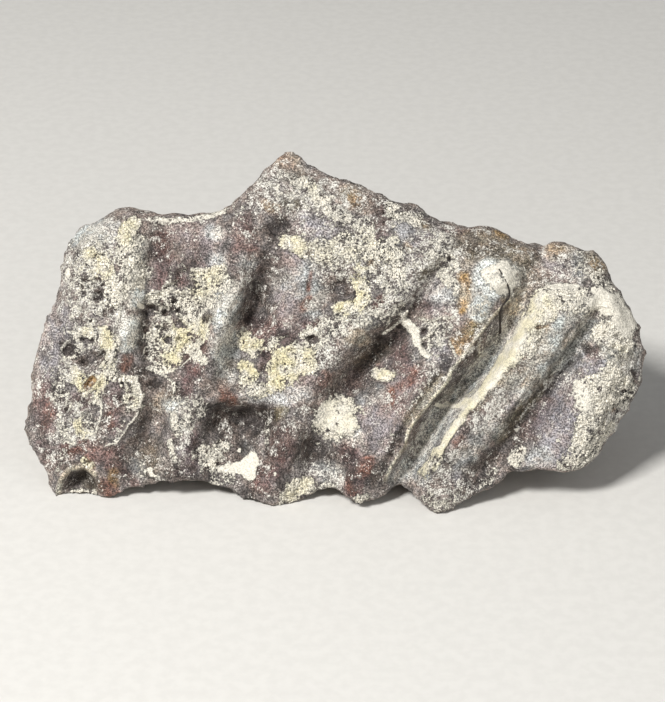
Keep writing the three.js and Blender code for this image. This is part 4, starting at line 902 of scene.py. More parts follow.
# Fine white specks: the strength is their density
SPECKS = [
    # left of E
    [0.5, 3.0, (-24.6, 27.0), (-25.4, 20.0), (-26.4, 12.8), (-26.4, 9.4)],
    [0.3, 1.6, (-28.2, 18.4), (-29.0, 13.4), (-28.0, 9.0)],
    [0.35, 1.2, (-29.6, 9.4), (-28.8, 6.4)],
    # E to D
    [0.35, 1.4, (-7.6, 31.4), (-9.6, 28.8)],
    [0.2, 1.0, (-12.6, 29.4), (-16.4, 28.4)],
    [0.3, 1.2, (-18.2, 27.6), (-18.0, 26.2)],
    [0.25, 1.4, (-10.4, 27.0), (-9.2, 24.6)],
    [0.35, 1.2, (-9.2, 25.8), (-8.4, 23.6)],
    [0.42, 1.0, (-11.6, 21.0), (-10.8, 22.4)],
    [0.5, 0.9, (-21.6, 20.0), (-22.2, 15.0)],
    [0.38, 1.0, (-11.2, 18.0), (-11.4, 15.0)],
    [0.3, 1.2, (-13.8, 15.4), (-15.0, 12.6), (-15.6, 9.4)],
    [0.45, 0.9, (-22.6, 12.2), (-22.4, 8.6)],
    [0.4, 1.1, (-14.6, 9.6), (-15.6, 5.6)],
    [0.16, 1.6, (-20.6, 7.4), (-18.4, 6.6)],
    # D to C
    [0.5, 3.2, (-5.0, 33.4), (-2.8, 30.6), (1.2, 30.0), (5.4, 28.6), (9.6, 26.8)],
    [0.55, 2.4, (-0.4, 25.8), (4.4, 24.8), (9.0, 24.6)],
    [0.55, 1.6, (5.4, 22.0), (8.0, 23.2)],
    [0.18, 1.2, (-6.0, 24.4), (-4.8, 20.6)],
    [0.32, 0.9, (-7.4, 19.4), (-6.2, 18.6)],
    [0.45, 1.6, (2.4, 20.4), (0.0, 18.6), (-0.8, 16.6)],
    [0.35, 1.6, (-5.8, 11.0), (-3.6, 11.6)],
    [0.45, 1.2, (-12.0, 9.8), (-8.0, 9.6)],
    # C to B
    [0.3, 1.8, (14.6, 27.6), (17.6, 26.4), (19.4, 24.4)],
    [0.5, 1.2, (11.8, 26.6), (10.6, 24.4)],
    [0.45, 1.6, (11.0, 21.6), (10.6, 19.2), (9.6, 17.2)],
    [0.28, 0.9, (8.8, 13.8), (7.0, 11.0)],
    [0.16, 1.6, (7.4, 14.2), (5.2, 10.4), (4.0, 7.6)],
    [0.4, 1.0, (-2.8, 8.0), (-4.4, 9.4)],
    [0.42, 1.4, (-1.6, 5.6), (-2.6, 5.0), (-0.6, 3.6)],
    [0.2, 1.2, (1.2, 5.4), (2.6, 3.4)],
    # B to A
    [0.55, 1.1, (16.6, 18.6), (14.8, 16.0), (12.8, 13.4)],
    [0.5, 1.6, (15.4, 18.4), (12.6, 14.2), (10.0, 9.6)],
    [0.55, 0.7, (12.6, 13.6), (11.6, 12.0), (10.8, 11.0)],
    [0.35, 1.2, (13.0, 13.6), (10.6, 10.8), (9.0, 7.8), (7.6, 5.2)],
    [0.4, 0.9, (12.2, 12.4), (10.0, 9.2), (8.2, 6.4)],
    # right of A
    [0.34, 2.0, (22.0, 25.4), (25.4, 25.4), (26.6, 23.6)],
    [0.55, 1.6, (24.0, 21.4), (22.2, 20.4)],
    [0.42, 1.4, (20.6, 17.6), (17.4, 13.6), (14.4, 9.4)],
    [0.5, 2.2, (28.4, 16.4), (28.0, 11.4), (25.8, 7.6)],
    [0.4, 1.2, (22.6, 14.0), (20.4, 11.2), (18.6, 8.6)],
    [0.2, 1.2, (20.6, 6.2), (18.0, 5.2)],
    [0.4, 1.2, (12.6, 6.4), (10.6, 4.6)],
    [0.45, 1.4, (10.0, 3.6), (11.6, 1.8), (13.4, 3.2)],
]

# Places where neither crust nor specks cling
BARE = [
    # left of E
    [0.7, 0.55, (-24.0, 22.2), (-23.5, 22.6)],
    [0.5, 1.1, (-27.8, 21.0), (-28.6, 16.0)],
    [0.9, 0.75, (-25.2, 15.6), (-23.7, 16.2)],
    [1.0, 0.42, (-24.9, 13.1), (-24.2, 13.9)],
    [0.8, 0.45, (-25.7, 12.1), (-26.4, 13.0)],
    [0.7, 0.9, (-29.8, 10.6), (-29.2, 9.4)],
    # E to D
    [0.5, 1.3, (-9.6, 29.6), (-8.4, 27.0)],
    [0.6, 1.5, (-15.4, 28.6), (-12.0, 27.4)],
    [0.7, 1.2, (-17.6, 27.6), (-17.4, 25.4)],
    [0.5, 1.0, (-9.8, 25.2), (-9.4, 27.6)],
    [0.6, 0.8, (-15.8, 24.4), (-15.0, 23.6)],
    [0.8, 0.7, (-21.4, 16.0), (-20.9, 15.2)],
    [0.7, 0.8, (-14.3, 14.8), (-14.8, 13.2)],
    [0.7, 0.8, (-22.6, 12.6), (-22.4, 10.4)],
    [0.5, 0.6, (-16.8, 11.2), (-15.6, 10.8)],
    [0.7, 0.5, (-21.8, 10.8), (-22.4, 8.8)],
    [0.8, 1.1, (-18.6, 9.8), (-19.2, 7.4), (-18.6, 6.2)],
    [0.6, 0.9, (-16.2, 4.6), (-13.8, 4.2)],
    # D to C
    [0.7, 0.9, (-5.4, 36.2), (-4.2, 35.2)],
    [0.6, 0.7, (-3.0, 35.0), (-1.6, 34.4)],
    [0.5, 0.9, (1.8, 31.6), (3.2, 31.0)],
    [0.7, 0.8, (4.4, 30.2), (4.8, 28.9)],
    [0.6, 1.1, (-3.2, 29.4), (-1.2, 28.7)],
    [0.6, 1.0, (-6.2, 28.6), (-5.2, 29.2)],
    [0.6, 0.9, (6.8, 28.8), (8.2, 27.8)],
    [0.5, 0.5, (2.0, 24.2), (1.6, 25.0)],
    [0.7, 1.2, (-5.4, 25.2), (-5.0, 21.2)],
    [0.6, 0.6, (0.4, 22.8), (1.2, 22.6)],
    [0.7, 0.9, (-7.6, 22.6), (-8.8, 20.0)],
    [0.7, 0.7, (-6.6, 18.8), (-5.4, 18.6)],
    [0.9, 0.8, (1.8, 18.4), (2.8, 17.8)],
    [0.6, 1.4, (-2.6, 12.4), (-5.4, 11.2)],
    [0.5, 1.3, (-11.6, 9.8), (-8.0, 9.6)],
    [0.9, 0.7, (-10.5, 6.2), (-9.4, 6.6)],
    # C to B
    [0.8, 0.6, (12.8, 23.8), (12.8, 21.2)],
    [0.6, 0.8, (10.0, 22.6), (11.4, 21.4)],
    [0.6, 0.7, (8.6, 20.9), (9.2, 21.2)],
    [0.6, 0.9, (6.6, 16.4), (6.2, 15.6)],
    [0.7, 1.2, (6.8, 13.0), (5.4, 9.6)],
    [0.6, 1.2, (-5.0, 8.2), (-6.2, 4.0)],
    [0.6, 1.3, (1.2, 6.2), (2.6, 3.6)],
    # B to A
    [0.3, 0.8, (16.0, 19.6), (14.6, 17.4)],
    [0.3, 1.0, (12.6, 13.4), (10.2, 10.6)],
    # right of A
    [0.5, 0.8, (22.4, 18.4), (21.8, 17.2)],
    [0.8, 0.7, (24.8, 16.0), (26.0, 15.3)],
    [0.8, 1.6, (22.8, 11.6), (21.4, 8.4)],
    [0.6, 0.9, (18.4, 8.6), (17.4, 7.2)],
    [0.7, 0.9, (13.6, 6.8), (14.8, 8.0)],
    [0.7, 0.9, (13.4, 4.6), (14.2, 4.2)],
]

# Colours as seen in even light, sRGB 0 to 255. Some also stand for light and shade: the pale stain
# for painted light, the blue bloom for painted sheen, the olive and the dark colour for painted
# shade, the edge cream for painted highlight and the pore colour for painted shade in the pores
BARE_BONE = (134, 125, 120)
MAUVE_BONE = (166, 152, 151)
LAVENDER_BONE = (162, 156, 159)
TAN_BONE = (182, 168, 146)
PALE_STAIN_AND_LIGHT = (232, 232, 224)
MAROON_STAIN = (104, 79, 76)
RUST_STAIN = (124, 82, 66)
OCHRE_STAIN = (176, 145, 96)
BLUE_BLOOM_AND_SHEEN = (190, 192, 188)
OLIVE_TONE_AND_SHADE = (118, 110, 82)
# painted shade, used in the grooves, on the pit floors and in the pores
PAINTED_SHADE_COLOUR = (54, 46, 42)
CHALK_HAZE = (200, 195, 187)
WHITE_SPECK = (246, 243, 233)
WHITE_CRUST = (248, 242, 227)
YELLOW_CRUST = (243, 233, 192)
EDGE_CREAM_AND_HIGHLIGHT = (222, 214, 192)
BROKEN_BONE = (152, 140, 131)
BROKEN_PORE_SHADE = (74, 56, 46)
INNER_BONE = (146, 134, 128)
ROOT_BLACK = (26, 22, 20)
ROOT_BROWN = (52, 42, 36)
WARM_CAST = (255, 248, 242)
COOL_CAST = (246, 251, 255)
FLOOR_DULL = (214, 212, 207)
FLOOR_PALE = (219, 217, 212)

# Dark rootlet that lies over the knob of ridge B and hangs into the groove
ROOTLET = [
    (16.2, 24.8), (16.7, 23.9), (17.2, 22.9), (17.3, 22.1), (16.9, 21.6),
    (16.5, 21.2), (16.3, 20.5), (16.4, 19.7), (16.5, 18.5),
]
ROOTLET_RADIUS = 0.085
ROOTLET_TAPER = (0.8, 1.5)  # share of that radius at its upper and its lower end
ROOTLET_DROP = 8.0  # mm over the face plane from which it is laid down


def linear(colour):
    """A 0 to 255 sRGB colour as linear red, green, blue."""
    share = np.array(colour, float) / 255
    return np.where(share <= 0.04045, share / 12.92, ((share + 0.055) / 1.055) ** 2.4)


def ease(low, high, value):
    """0 below low, 1 above high and a smooth rise between; low may be the larger."""
    share = np.clip((value - low) / (high - low), 0, 1)
    return share * share * (3 - 2 * share)


# ---------------------------------------------------------------------------------------------
# Face coordinates
# ---------------------------------------------------------------------------------------------

FACE_ORIGIN = np.array([cad_low.x / MM + LEFT_REACH, cad_low.y / MM + TIP_DEPTH, -BASE_WEAR])
FACE_NORMAL = np.array([0, -math.cos(FACE_LEAN), math.sin(FACE_LEAN)])
FACE_UP = np.array([0, math.sin(FACE_LEAN), math.cos(FACE_LEAN)])


def to_face(points):
    """Across and up, in mm, of points in space."""
    local = points - FACE_ORIGIN
    return np.column_stack([local[:, 0], local @ FACE_UP])


def from_face(across, up, height):
    """The point in space over a place on the face, in mm."""
    lift = height + FACE_TURN * (across - TURN_AXIS)
    return FACE_ORIGIN + np.array([across, 0, 0]) + up * FACE_UP + lift * FACE_NORMAL


# ---------------------------------------------------------------------------------------------
# Noise and brushes
# ---------------------------------------------------------------------------------------------


def fractal(points, size, octaves, shift):
    """Fractal noise, about -1 to 1, whose largest swells are size mm; size may differ by axis."""
    scaled = points / np.array(size, float) + shift
    return np.array([noise.fractal(Vector(p), 0.8, 2.0, octaves) for p in scaled])


def cell_distance(points, size, shift):
    """Distance to the nearest of scattered centres about size mm apart, 0 at a centre."""
    scaled = points / size + shift
    return np.array([noise.voronoi(Vector(p))[0][0] for p in scaled])


def swells(points, height, *noise_settings):
    """Height in mm of an uneven surface at each point."""
    return height * fractal(points, *noise_settings)


def holes(points, depth, spacing, shift, start, floor):
    """Depth in mm of scattered round holes at each point."""
    return depth * ease(start, floor, cell_distance(points, spacing, shift))


def line_distance(places, line):
    """Distance in mm from each place to a line of stations."""
    stations = np.array(line, float)
    if len(stations) == 1:
        return np.hypot(*(places - stations[0]).T)
    nearest = np.full(len(places), np.inf)
    for start, end in zip(stations[:-1], stations[1:]):
        run = end - start
        share = np.clip((places - start) @ run / (run @ run), 0, 1)
        gap = places - start - share[:, None] * run
        nearest = np.minimum(nearest, np.hypot(gap[:, 0], gap[:, 1]))
    return nearest


def brush(places, drift, strokes, softness):
    """Strength of the strongest stroke at each place; a wide stroke has a ragged, faded rim."""
    cover = np.zeros(len(places))
    for strength, half_width, *line in strokes:
        distance = line_distance(places + min(half_width, 1.2) * drift, line)
        rim = max(softness * half_width, 0.12)
        stroke = strength * ease(half_width + rim, half_width - rim, distance)
        cover = np.maximum(cover, stroke)
    return cover


def carve(places, strokes):
    """Sum of rounded ridges (positive) and channels (negative) along strokes."""
    height = np.zeros(len(places))
    for rise, half_width, *line in strokes:
        share = np.clip(line_distance(places, line) / half_width, 0, 1)
        height += rise * (1 - share**2) ** 2
    return height


def dig(places, pits):
    """Steep-walled pits: their height (negative), their floors and their rims as 0 to 1."""
    height, floor, rim = np.zeros((3, len(places)))
    for across, up, half_width, half_height, depth in pits:
        reach = np.hypot((places[:, 0] - across) / half_width, (places[:, 1] - up) / half_height)
        height -= depth * ease(1.25, 0.45, reach)
        floor = np.maximum(floor, ease(1.05, 0.65, reach))
        rim = np.maximum(rim, ease(0.85, 1.15, reach) * ease(1.9, 1.35, reach))
    return height, floor, rim


# ---------------------------------------------------------------------------------------------
# Mesh refinement
# ---------------------------------------------------------------------------------------------


def cad_copy(node):
    """A new object holding the solid's mesh in millimetres, welded."""
    shell = bmesh.new()
    shell.from_mesh(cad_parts[node].data)
    bmesh.ops.remove_doubles(shell, verts=shell.verts, dist=1e-6)
    bmesh.ops.scale(shell, vec=(1 / MM,) * 3, verts=shell.verts)
    mesh = bpy.data.meshes.new("solid_mm")
    shell.to_mesh(mesh)
    shell.free()
    solid = bpy.data.objects.new("solid_mm", mesh)
    bpy.context.scene.collection.objects.link(solid)
    return solid


def remeshed(solid, voxel):
    """The solid's surface as even quads; the object itself is removed."""
    modifier = solid.modifiers.new("even", "REMESH")
    modifier.mode = "VOXEL"
    modifier.voxel_size = voxel
    evaluated = solid.evaluated_get(bpy.context.evaluated_depsgraph_get())
    mesh = bpy.data.meshes.new_from_object(evaluated)
    bpy.data.objects.remove(solid)
    return mesh


def read_vectors(mesh, field):
    """One vector for each vertex, as an array: its "co" or its "normal"."""
    vectors = np.empty(len(mesh.vertices) * 3)
    mesh.vertices.foreach_get(field, vectors)
    return vectors.reshape(-1, 3)


def write_points(mesh, points):
    mesh.vertices.foreach_set("co", points.ravel())
    mesh.update()


def smoothed(mesh, rounds, steps=(0.50, -0.52)):
    """Vertex positions after smoothing rounds; the default steps keep broad shapes as they are."""
    edges = np.empty(len(mesh.edges) * 2, dtype=np.int64)
    mesh.edges.foreach_get("vertices", edges)
    near, far = edges.reshape(-1, 2).T
    points = read_vectors(mesh, "co")
    count = np.bincount(near, minlength=len(points)) + np.bincount(far, minlength=len(points))
    for _ in range(rounds):
        for step in steps:
            pull = np.zeros_like(points)
            for axis in range(3):
                pull[:, axis] += np.bincount(near, points[far, axis], len(points))
                pull[:, axis] += np.bincount(far, points[near, axis], len(points))
            points = points + step * (pull / count[:, None] - points)
    return points


def sharpen_relief(mesh):
    """Deepens the grooves and raises the ridges of the face by part of their height."""
    points = read_vectors(mesh, "co")
    front = ease(*FACING, read_vectors(mesh, "normal") @ FACE_NORMAL)
    relief = (points - smoothed(mesh, BROAD_ROUNDS, (0.5,))) @ FACE_NORMAL
    gain = RELIEF_GAIN * relief * front * ease(0.3, 2.0, points[:, 2])
    write_points(mesh, points + gain[:, None] * FACE_NORMAL)


def refine_front(mesh):
    """Splits every face that looks toward the front into four."""
    shell = bmesh.new()
    shell.from_mesh(mesh)
    front = [f for f in shell.faces if f.normal @ Vector(FACE_NORMAL) > SPLIT_FACING]
    edges = list({edge for face in front for edge in face.edges})
    bmesh.ops.subdivide_edges(shell, edges=edges, cuts=1, use_grid_fill=True)
    shell.to_mesh(mesh)
    shell.free()


# ---------------------------------------------------------------------------------------------
# The fragment
# ---------------------------------------------------------------------------------------------


def wandering(points):
    """A nudge across and up for every point, so that no brush stroke has a clean outline."""
    coarse = np.column_stack([fractal(points, 1.8, 2, 11.0), fractal(points, 1.8, 2, 47.0)])
    fine = np.column_stack([fractal(points, 0.6, 2, 23.0), fractal(points, 0.6, 2, 71.0)])
    return 0.45 * coarse + 0.25 * fine


class Skin:
    """The fragment's surface before its relief is added, one entry for each vertex."""

    def __init__(self, mesh):
        self.points = read_vectors(mesh, "co")
        self.normals = read_vectors(mesh, "normal")
        self.places = to_face(self.points)
        self.drift = wandering(self.points)
        self.facing = self.normals @ FACE_NORMAL
        self.front = ease(*FACING, self.facing)
        self.inner = ease(*BACKING, self.normals[:, 1])
        self.broken = (1 - self.front) * (1 - self.inner)
        pit_places = self.places + PIT_WANDER * self.drift
        self.pit_height, self.pit_floor, self.pit_rim = dig(pit_places, PITS)

    def brush(self, strokes, softness):
        """Strength of the strokes at each vertex."""
        return brush(self.places, self.drift, strokes, softness)

    def crust_covers(self):
        """Cover of all crust, of its smooth kind alone, and how yellow it is."""
        smooth_crust = self.brush(SMOOTH_CRUST, 0.4) * self.front
        crust = self.brush(CRUST, 0.45) * (1 - self.brush(BARE, 0.5))
        on_rims = 0.65 * self.pit_rim * ease(0.15, 0.5, crust)
        crust = np.maximum(crust * (1 - self.pit_floor), on_rims) * self.front
        faded = ease(-0.7, 0.4, fractal(self.points, 1.3, 3, 97.0))
        return np.maximum(crust, smooth_crust), smooth_crust, self.brush(YELLOW, 0.8) * faded

    def speck_cover(self):
        """Density of the white specks: painted on the face, even and sparse elsewhere."""
        specks = self.brush(SPECKS, 0.6) * (1 - 0.6 * self.brush(PAINTED_SHADE, 0.5))
        specks *= (1 - self.pit_floor) * (1 - 0.7 * self.brush(BARE, 0.5))
        return np.maximum(specks, 0.08) * self.front + 0.14 * self.inner + 0.18 * self.broken

    def face_relief(self):
        """Height in mm added to the bare face: edges, hollows, cracks, pits and unevenness."""
        carved_places = self.places + STROKE_WANDER * self.drift
        height = carve(carved_places, EDGES + HOLLOWS + CRACKS) + self.pit_height
        return height + swells(self.points, *BONE_SWELLS) + swells(self.points, *BONE_GRAIN)

    def margin_relief(self):
        """Height in mm added where the face turns into a broken edge: a crumbled margin."""
        margin = ease(-0.5, 0.0, self.facing) * ease(0.75, 0.35, self.facing)
        return margin * swells(self.points, *MARGIN_CRUMBLE)


def crust_relief(points, granular, smooth_crust):
    """Height in mm of the crust: granular lumps with holes between them, and the smooth kind."""
    height = granular * (CRUST_THICKNESS + swells(points, *CRUST_LUMPS))
    open_patches = ease(0.35, 0.7, granular) * ease(-0.2, 0.4, fractal(points, 2.5, 2, 91.0))
    height -= holes(points, *CRUST_HOLES) * open_patches
    return height + SMOOTH_CRUST_THICKNESS * smooth_crust


def break_relief(points):
    """Height in mm added to the broken edges: chips and the pores of the spongy inner bone."""
    chips = swells(points, *BREAK_CHIPS) + swells(points, *BREAK_SPLINTERS)
    return SMOOTHING_LOSS + chips - holes(points, *SPONGE_PORES)


def inner_relief(points):
    """Height in mm added to the inner side: growth grain along the bone and a few vessel holes."""
    return swells(points, *GROWTH_GRAIN) - holes(points, *VESSELS)


def blunt_margin(mesh, facing):
    """Takes the thin spikes off the sharp margin of the face."""
    points = read_vectors(mesh, "co")
    margin = ease(-0.6, -0.2, facing) * ease(0.8, 0.5, facing)
    rounded = smoothed(mesh, MARGIN_ROUNDS)
    write_points(mesh, points + (rounded - points) * margin[:, None])


def blend_colour(base, colour, cover):
    """A linear colour at each point, covered by an sRGB colour to a share."""
    return base + (linear(colour) - base) * cover[:, None]


def face_tint(skin):
    """Smooth colour of the bone under the crust and specks, with painted shade, light, sheen and
    highlight.
    """
    tint = np.tile(linear(BARE_BONE), (len(skin.points), 1))
    tint *= 1 + 0.25 * fractal(skin.points, 1.6, 4, 61.0)[:, None]
    patchiness = 0.85 + 0.45 * fractal(skin.points, 0.8, 3, 7.0)
    # stains, then painted sheen, shade and light, laid in this order
    for colour, strokes in (
        (MAUVE_BONE, MAUVE),
        (LAVENDER_BONE, LAVENDER),
        (TAN_BONE, TAN),
        (MAROON_STAIN, MAROON),
        (BLUE_BLOOM_AND_SHEEN, BLUE_GREY_AND_SHEEN),
        (OCHRE_STAIN, OCHRE),
        (RUST_STAIN, RUST),
        (OLIVE_TONE_AND_SHADE, OLIVE_AND_SHADE),
        (PALE_STAIN_AND_LIGHT, PALE_AND_PAINTED_LIGHT),
        (PAINTED_SHADE_COLOUR, PAINTED_SHADE),
    ):
        cover = skin.brush(strokes, 0.5) * patchiness
        tint = blend_colour(tint, colour, np.clip(cover, 0, 1))
    # painted shade on the floors of the pits
    tint = blend_colour(tint, PAINTED_SHADE_COLOUR, 0.55 * skin.pit_floor)
    # cream lines and painted highlight along the sharp edges
    edges = brush(skin.places, STROKE_WANDER * skin.drift, PALE_EDGE_AND_HIGHLIGHT, 0.5)
    return blend_colour(tint, EDGE_CREAM_AND_HIGHLIGHT, edges)


def break_tint(points):
    """Colour of the broken edges, with painted shade that darkens the pores."""
    tint = np.tile(linear(BROKEN_BONE), (len(points), 1))
    tint *= 1 + 0.30 * fractal(points, 2.0, 4, 83.0)[:, None]
    _, spacing, shift, _, floor = SPONGE_PORES
    # painted shade in the pores of the broken edges
    return blend_colour(tint, BROKEN_PORE_SHADE, holes(points, 0.8, spacing, shift, 0.45, floor))


def inner_tint(points):
    """Colour of the inner side, drawn out along the bone and mottled with ochre."""
    tint = np.tile(linear(INNER_BONE), (len(points), 1))
    tint *= 1 + 0.25 * fractal(points, (5.0, 5.0, 1.4), 4, 43.0)[:, None]
    mottling = ease(0.1, 0.7, fractal(points, 6.0, 3, 19.0))
    return blend_colour(tint, OCHRE_STAIN, 0.5 * mottling)


def add_colour(mesh, name, values):
    """Stores red, green, blue and a fourth number for every vertex."""
    attribute = mesh.attributes.new(name, "FLOAT_COLOR", "POINT")
    attribute.data.foreach_set("color", np.ascontiguousarray(values, dtype=np.float32).ravel())


def refined_solid():
    """The solid's mesh, even and smooth, with stronger relief and small faces on its front."""
    mesh = remeshed(cad_copy("scute"), VOXEL)
    write_points(mesh, smoothed(mesh, SMOOTH_ROUNDS))
    sharpen_relief(mesh)
    refine_front(mesh)
    write_points(mesh, smoothed(mesh, FINE_SMOOTH_ROUNDS))
    return mesh


def build_fragment():
    """The whole fragment as one mesh with its paint stored on it, and the grains of its crust."""
    mesh = refined_solid()
    skin = Skin(mesh)
    points, front, inner, broken = skin.points, skin.front, skin.inner, skin.broken
    crust, smooth_crust, yellow = skin.crust_covers()
    granular = crust * (1 - smooth_crust)

    height = (skin.face_relief() + crust_relief(points, granular, smooth_crust)) * front
    height += break_relief(points) * broken + inner_relief(points) * inner
    height += skin.margin_relief()
    height *= ease(0.05, 0.6, points[:, 2])  # none where the fragment rests on the floor
    outward = skin.normals * (1 - front[:, None]) + FACE_NORMAL * front[:, None]
    write_points(mesh, points + outward * height[:, None])
    blunt_margin(mesh, skin.facing)

    # painted shade: the bone is darkened by up to half where crust covers it, between the grains
    tint = face_tint(skin) * (1 - 0.5 * ease(0.3, 0.7, crust)[:, None]) * front[:, None]
    tint += break_tint(points) * broken[:, None] + inner_tint(points) * inner[:, None]
    calm = skin.brush(CALM, 0.5) * front
    add_colour(mesh, "tint", np.column_stack([np.clip(tint, 0.004, 1), calm]))
    add_colour(mesh, "cover", np.column_stack([crust, yellow, skin.speck_cover(), smooth_crust]))

    seats = grain_places(points, granular)
    ends, normals = read_vectors(mesh, "co"), read_vectors(mesh, "normal")
    grains = build_grains(ends[seats], normals[seats], yellow[seats])
    write_points(mesh, ends * MM)
    mesh.shade_smooth()
    return add_piece("fossil_scute", mesh), grains


def grain_places(points, cover):
    """Vertices that carry a grain of crust: more of them where the cover is high."""
    chance = np.random.default_rng(GRAIN_SEED).uniform(0.55, 1.05, len(points))
    chosen = np.flatnonzero(cover > GRAIN_COVER)
    clumped = cover[chosen] + 0.55 * fractal(points[chosen], 1.1, 3, 31.0)
    chosen = chosen[clumped > chance[chosen]]
    _, first = np.unique(np.floor(points[chosen] / GRAIN_GAP), axis=0, return_index=True)
    return chosen[first]


def build_grains(points, normals, yellow):
    """Uneven lumps of crust as one mesh, each half sunk in the bone at its point."""
    ball = bmesh.new()
    bmesh.ops.create_icosphere(ball, subdivisions=1, radius=1.0)
    corners = np.array([vertex.co for vertex in ball.verts])
    triangles = np.array([[vertex.index for vertex in face.verts] for face in ball.faces])
    ball.free()

    rng = np.random.default_rng(GRAIN_SEED)
    count = len(points)
    low, high = GRAIN_RADIUS
    radius = low + (high - low) * rng.uniform(0, 1, (count, 1, 1)) ** 1.6
    turn = np.linalg.qr(rng.normal(size=(count, 3, 3)))[0]
    turn *= np.linalg.det(turn)[:, None, None]
    lumps = corners * rng.uniform(0.6, 1.4, (count, len(corners), 1)) @ turn * radius
    up = normals[:, None, :]
    lumps -= (1 - GRAIN_FLATNESS) * (lumps * up).sum(2, keepdims=True) * up
    lumps += points[:, None, :] + GRAIN_LIFT * radius * up

    faces = triangles + len(corners) * np.arange(count)[:, None, None]
    mesh = bpy.data.meshes.new("crust_grains")
    mesh.from_pydata((lumps.reshape(-1, 3) * MM).tolist(), [], faces.reshape(-1, 3).tolist())
    mesh.shade_smooth()

    white, cream = linear(WHITE_CRUST), linear(YELLOW_CRUST)
    tint = white + (cream - white) * yellow[:, None]
    tint *= rng.uniform(0.76, 1.08, (count, 1))
    tint = np.column_stack([tint, np.ones(count)])
    add_colour(mesh, "tint", np.repeat(tint, len(corners), axis=0))
    return add_piece("crust_grains", mesh)


def add_piece(name, mesh):
    """A new object in the scene that shows the mesh."""
    mesh.name = name
    piece = bpy.data.objects.new(name, mesh)
    bpy.context.scene.collection.objects.link(piece)
    return piece


def build_rootlet(fragment):
    """A dark thread laid on the surface of the fragment."""
    bpy.context.evaluated_depsgraph_get().update()
    path = []
    for across, up in ROOTLET:
        start = Vector(from_face(across, up, ROOTLET_DROP) * MM)
        hit, point, _, _ = fragment.ray_cast(start, Vector(-FACE_NORMAL))
        lifted = point + Vector(FACE_NORMAL) * ROOTLET_RADIUS * MM
        path.append(lifted if hit else start)
    curve = bpy.data.curves.new("rootlet", "CURVE")
    curve.dimensions = "3D"
    curve.bevel_depth = ROOTLET_RADIUS * MM
    curve.bevel_resolution = 2
    curve.use_fill_caps = True
    spline = curve.splines.new("NURBS")
    spline.points.add(len(path) - 1)
    spline.use_endpoint_u = True
    spline.order_u = 3
    thickness = np.linspace(*ROOTLET_TAPER, len(path))
    for point, place, scale in zip(spline.points, path, thickness):
        point.co = (*place, 1)
        point.radius = scale
    holder = bpy.data.objects.new("rootlet_path", curve)
    bpy.context.scene.collection.objects.link(holder)
    evaluated = holder.evaluated_get(bpy.context.evaluated_depsgraph_get())
    mesh = bpy.data.meshes.new_from_object(evaluated)
    bpy.data.objects.remove(holder)
    return add_piece("rootlet", mesh)


# ---------------------------------------------------------------------------------------------
# Materials
# ---------------------------------------------------------------------------------------------


NOISE_SPREAD = 0.10  # a noise texture seldom strays further than this from its mean of 0.5


